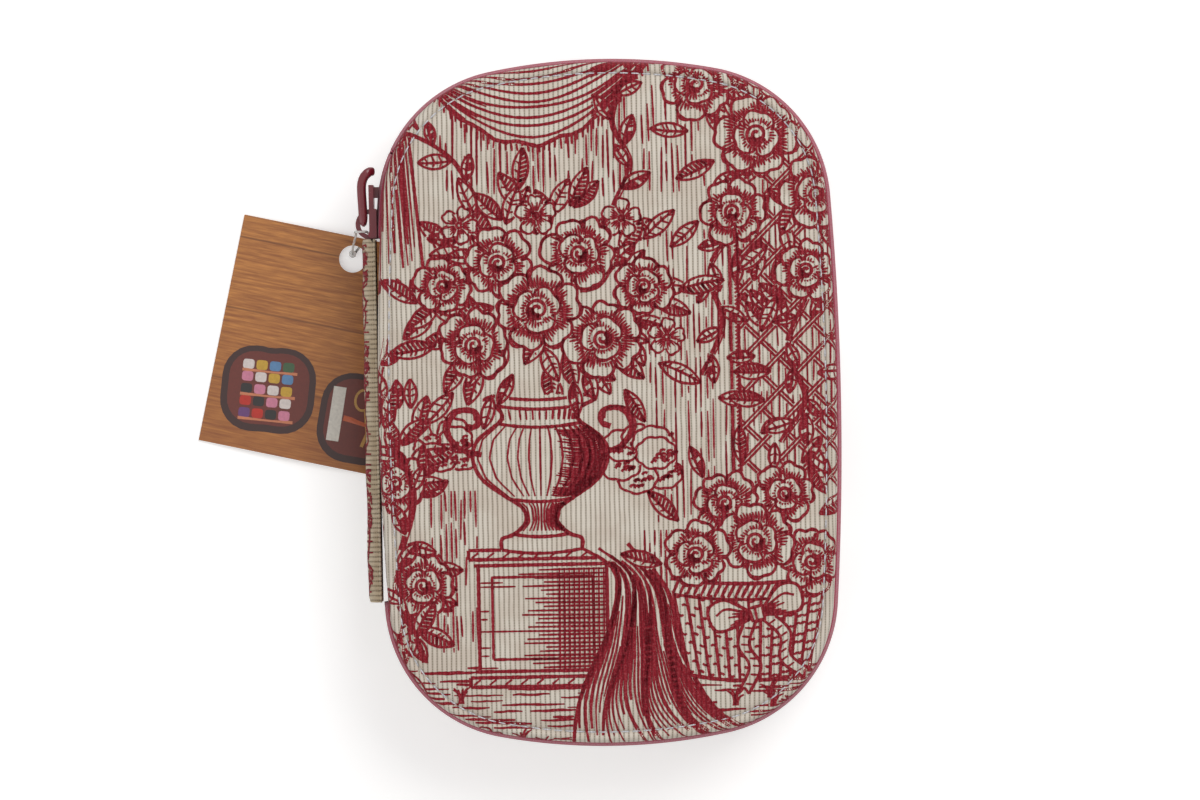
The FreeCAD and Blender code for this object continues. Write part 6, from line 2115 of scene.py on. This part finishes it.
faces = ring_faces(len(line), 8) + end_caps(8, len(points))
piece = new_piece("tape_measure_ribbon", points, faces)
lay_cloth_map(piece, np.array(flat))
tape_white, tree, shader = new_finish("coated_measuring_tape", 0.42, Coat_Weight=0.1)
place = add_node(tree, "UVMap", {}, uv_map="cloth").outputs[0]
split = add_node(tree, "SeparateXYZ", {0: place})
fabric = times(tree, sum_of(tree, "SINE", times(tree, split.outputs[0], 12.0)),
    sum_of(tree, "SINE", times(tree, split.outputs[1], 12.0)))
colour_with(tree, shader, blend_of(tree, band_of(tree, speckle_of(tree, 0.2, 4.0, place), 0.3, 0.7),
    tint(238, 234, 224), tint(226, 218, 200)))
relief(tree, shader, fabric, 0.03 * mm, 0.5)
hand_over(piece, tape_white, "base", "measure_tape", "tape_measure")

print_level = stack_high.z - layer * 0.12 + 0.09 * mm
marks = Gathered()
patch = Gathered()


def mark_bar(x0, x1, y0, y1):
    marks.add([(x0, y0, print_level), (x1, y0, print_level), (x1, y1, print_level), (x0, y1, print_level)],
        [(0, 1, 2, 3)])


first_mark = stack_low.y + 3 * mm
division = 0
while first_mark + division * mm < stack_high.y - 2.4 * mm:
    y = first_mark + division * mm
    reach = ribbon_half * 0.97 if division % 10 == 0 else 4.2 * mm if division % 5 == 0 else 2.6 * mm
    for edge, way in ((stack_x - ribbon_half * 0.97, 1), (stack_x + ribbon_half * 0.97, -1)):
        mark_bar(*sorted((edge, edge + way * reach)), y - 0.11 * mm, y + 0.11 * mm)
    division += 1
piece = marks.finish("measure_division_marks", smooth=False)
black_print = print_finish("black_measure_print", tint(26, 24, 26))
hand_over(piece, black_print, "base", "measure_tape")

for number in range(1, 9):
    words = bpy.data.curves.new("measure_number", "FONT")
    words.body = str(number)
    words.size = 7.2 * mm
    words.align_x = words.align_y = "CENTER"
    holder = bpy.data.objects.new("measure_number", words)
    bpy.context.scene.collection.objects.link(holder)
    bpy.context.view_layer.update()
    mesh = bpy.data.meshes.new_from_object(holder)
    bpy.data.objects.remove(holder)
    y = first_mark + (number * 10 - 5) * mm
    mesh.transform(Matrix.Translation((stack_x, y, print_level)) @ Matrix.Rotation(-math.pi / 2, 4, "Z"))
    piece = bpy.data.objects.new("measure_number_%d" % number, mesh)
    bpy.context.scene.collection.objects.link(piece)
    mesh.materials.clear()
    mesh.materials.append(black_print)
    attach(piece, "base")

low_y, high_y = first_mark + 30 * mm, first_mark + 40 * mm
for step in range(10):
    y0 = low_y + (high_y - low_y) * step / 10
    y1 = low_y + (high_y - low_y) * (step + 1) / 10
    patch.add([(stack_x - ribbon_half * 0.96, y0, print_level - 0.03 * mm),
        (stack_x + ribbon_half * 0.96, y0, print_level - 0.03 * mm),
        (stack_x + ribbon_half * 0.96, y1, print_level - 0.03 * mm),
        (stack_x - ribbon_half * 0.96, y1, print_level - 0.03 * mm)], [(0, 1, 2, 3)])
hand_over(
    patch.finish("measure_yellow_decimetre", smooth=False),
    print_finish("yellow_measure_print", tint(226, 188, 66)), "base", "measure_tape")


# Scissors: small embroidery scissors under an elastic in the base. Two drop-forged halves in worn
# gilt, crossing at a slotted steel screw.

def metal_finish(name, light, dark, roughness, along=(1.0, 1.0, 1.0), wear=None):
    """Polished metal: long grinding marks, cloudy colour and, where given, a worn tone."""
    material, tree, shader = new_finish(name, roughness, Metallic=1.0)
    place = solid_place(tree)
    stretched = add_node(tree, "Mapping", {"Vector": place, "Scale": along}).outputs[0]
    marks = speckle_of(tree, 1500.0, 4.0, stretched)
    colour = blend_of(tree, speckle_of(tree, 130.0, 4.0, place), dark, light)
    if wear:
        wear_and_highlight = band_of(tree, speckle_of(tree, 420.0, 5.0, place), 0.62, 0.72)
        colour = blend_of(tree, times(tree, wear_and_highlight, 0.6), colour, wear)
    colour_with(tree, shader, colour)
    tree.links.new(band_of(tree, marks, 0.2, 0.8, roughness - 0.06, roughness + 0.14),
        shader.inputs["Roughness"])
    relief(tree, shader, marks, 0.012 * mm, 0.5)
    return material


gilt = metal_finish("worn_gilt", tint(222, 178, 98), tint(186, 138, 66), 0.3, (1.0, 0.15, 1.0),
    tint(206, 196, 172))
dress("scissors_lower", gilt)
dress("scissors_upper", gilt)
dress("scissor_screw", metal_finish("turned_screw_steel", tint(202, 200, 196), tint(150, 148, 146), 0.28))


# Small notions in the base: two cast resin buttons, a pressed block of orange marking chalk and a
# needle threader stamped from tin.

resin, tree, shader = new_finish("cream_button_resin", 0.25, Coat_Weight=0.4)
swirl = add_node(tree, "TexWave", {"Vector": solid_place(tree), "Scale": 60.0,
    "Distortion": 9.0, "Detail": 4.0}).outputs[0]
colour_with(tree, shader, blend_of(tree, swirl, tint(236, 222, 196), tint(216, 196, 162)))
relief(tree, shader, speckle_of(tree, 1600.0), 0.01 * mm, 0.4)
dress("spare_buttons", resin)

chalk, tree, shader = new_finish("orange_marking_chalk", 0.97)
dust = speckle_of(tree, 700.0, 6.0)
colour = blend_of(tree, band_of(tree, dust, 0.3, 0.7), tint(208, 104, 40), tint(236, 140, 72))
colour_with(tree, shader, colour)
relief(tree, shader, dust, 0.12 * mm, 0.8)
dress("marking_chalk", chalk)
dress("needle_threader", metal_finish("stamped_tin", tint(206, 208, 212), tint(168, 170, 176), 0.3,
    (0.3, 1.0, 1.0)))


# Stage: a plain white table, a soft lamp above to one side, a paler one across from it and even light
# all round; the camera looks straight down from far off.

table_size = 6.0
camera_height = 1.5
picture_width = 280.3 * mm
picture_turn = -0.0192
picture_centre = (-1.8 * mm, 0.6 * mm)

table = new_piece("table_top", [(-table_size, -table_size, -0.0002), (table_size, -table_size, -0.0002),
    (table_size, table_size, -0.0002), (-table_size, table_size, -0.0002)], [(0, 1, 2, 3)])
material, tree, shader = new_finish("table_white", 0.8)
shader.inputs["Base Color"].default_value = (0.8, 0.8, 0.8, 1)
rays = add_node(tree, "LightPath", {})
seen = sum_of(tree, "MAXIMUM", rays.outputs["Is Camera Ray"], rays.outputs["Is Glossy Ray"])
seen = sum_of(tree, "MAXIMUM", seen, rays.outputs["Is Transmission Ray"])
glow = add_node(tree, "Emission", {"Color": (1, 1, 1, 1), "Strength": times(tree, seen, 0.42)})
joined = add_node(tree, "AddShader", {0: shader.outputs[0], 1: glow.outputs[0]})
tree.links.new(joined.outputs[0], tree.nodes["Material Output"].inputs["Surface"])
table.data.materials.append(material)

world = bpy.data.worlds.new("studio")
bpy.context.scene.world = world
world.use_nodes = True
tree = world.node_tree
rays = add_node(tree, "LightPath", {})
seen = sum_of(tree, "MAXIMUM", rays.outputs["Is Camera Ray"], rays.outputs["Is Glossy Ray"])
seen = sum_of(tree, "MAXIMUM", seen, rays.outputs["Is Transmission Ray"])
tree.links.new(sum_of(tree, "MULTIPLY_ADD", seen, 0.55, 0.45), tree.nodes["Background"].inputs["Strength"])
tree.nodes["Background"].inputs["Color"].default_value = (1, 0.99, 0.97, 1)

for name, place, size, power in (("soft_key", (0.55, 0.75, 1.1), 0.9, 11.0),
        ("soft_fill", (-0.8, -0.5, 0.9), 1.2, 3.5)):
    lamp = bpy.data.lights.new(name, "AREA")
    lamp.size = size
    lamp.energy = power
    holder = bpy.data.objects.new(name, lamp)
    holder.location = place
    holder.rotation_euler = (-Vector(place)).to_track_quat("-Z", "Y").to_euler()
    bpy.context.scene.collection.objects.link(holder)

camera = bpy.data.cameras.new("camera")
camera.sensor_width = 36
camera.lens = camera.sensor_width * camera_height / picture_width
camera.clip_end = 20
viewer = bpy.data.objects.new("camera", camera)
viewer.location = (*picture_centre, lid_face + camera_height)
viewer.rotation_euler = (0, 0, picture_turn)
bpy.context.scene.collection.objects.link(viewer)
bpy.context.scene.camera = viewer
bpy.context.scene.view_settings.view_transform = "Standard"
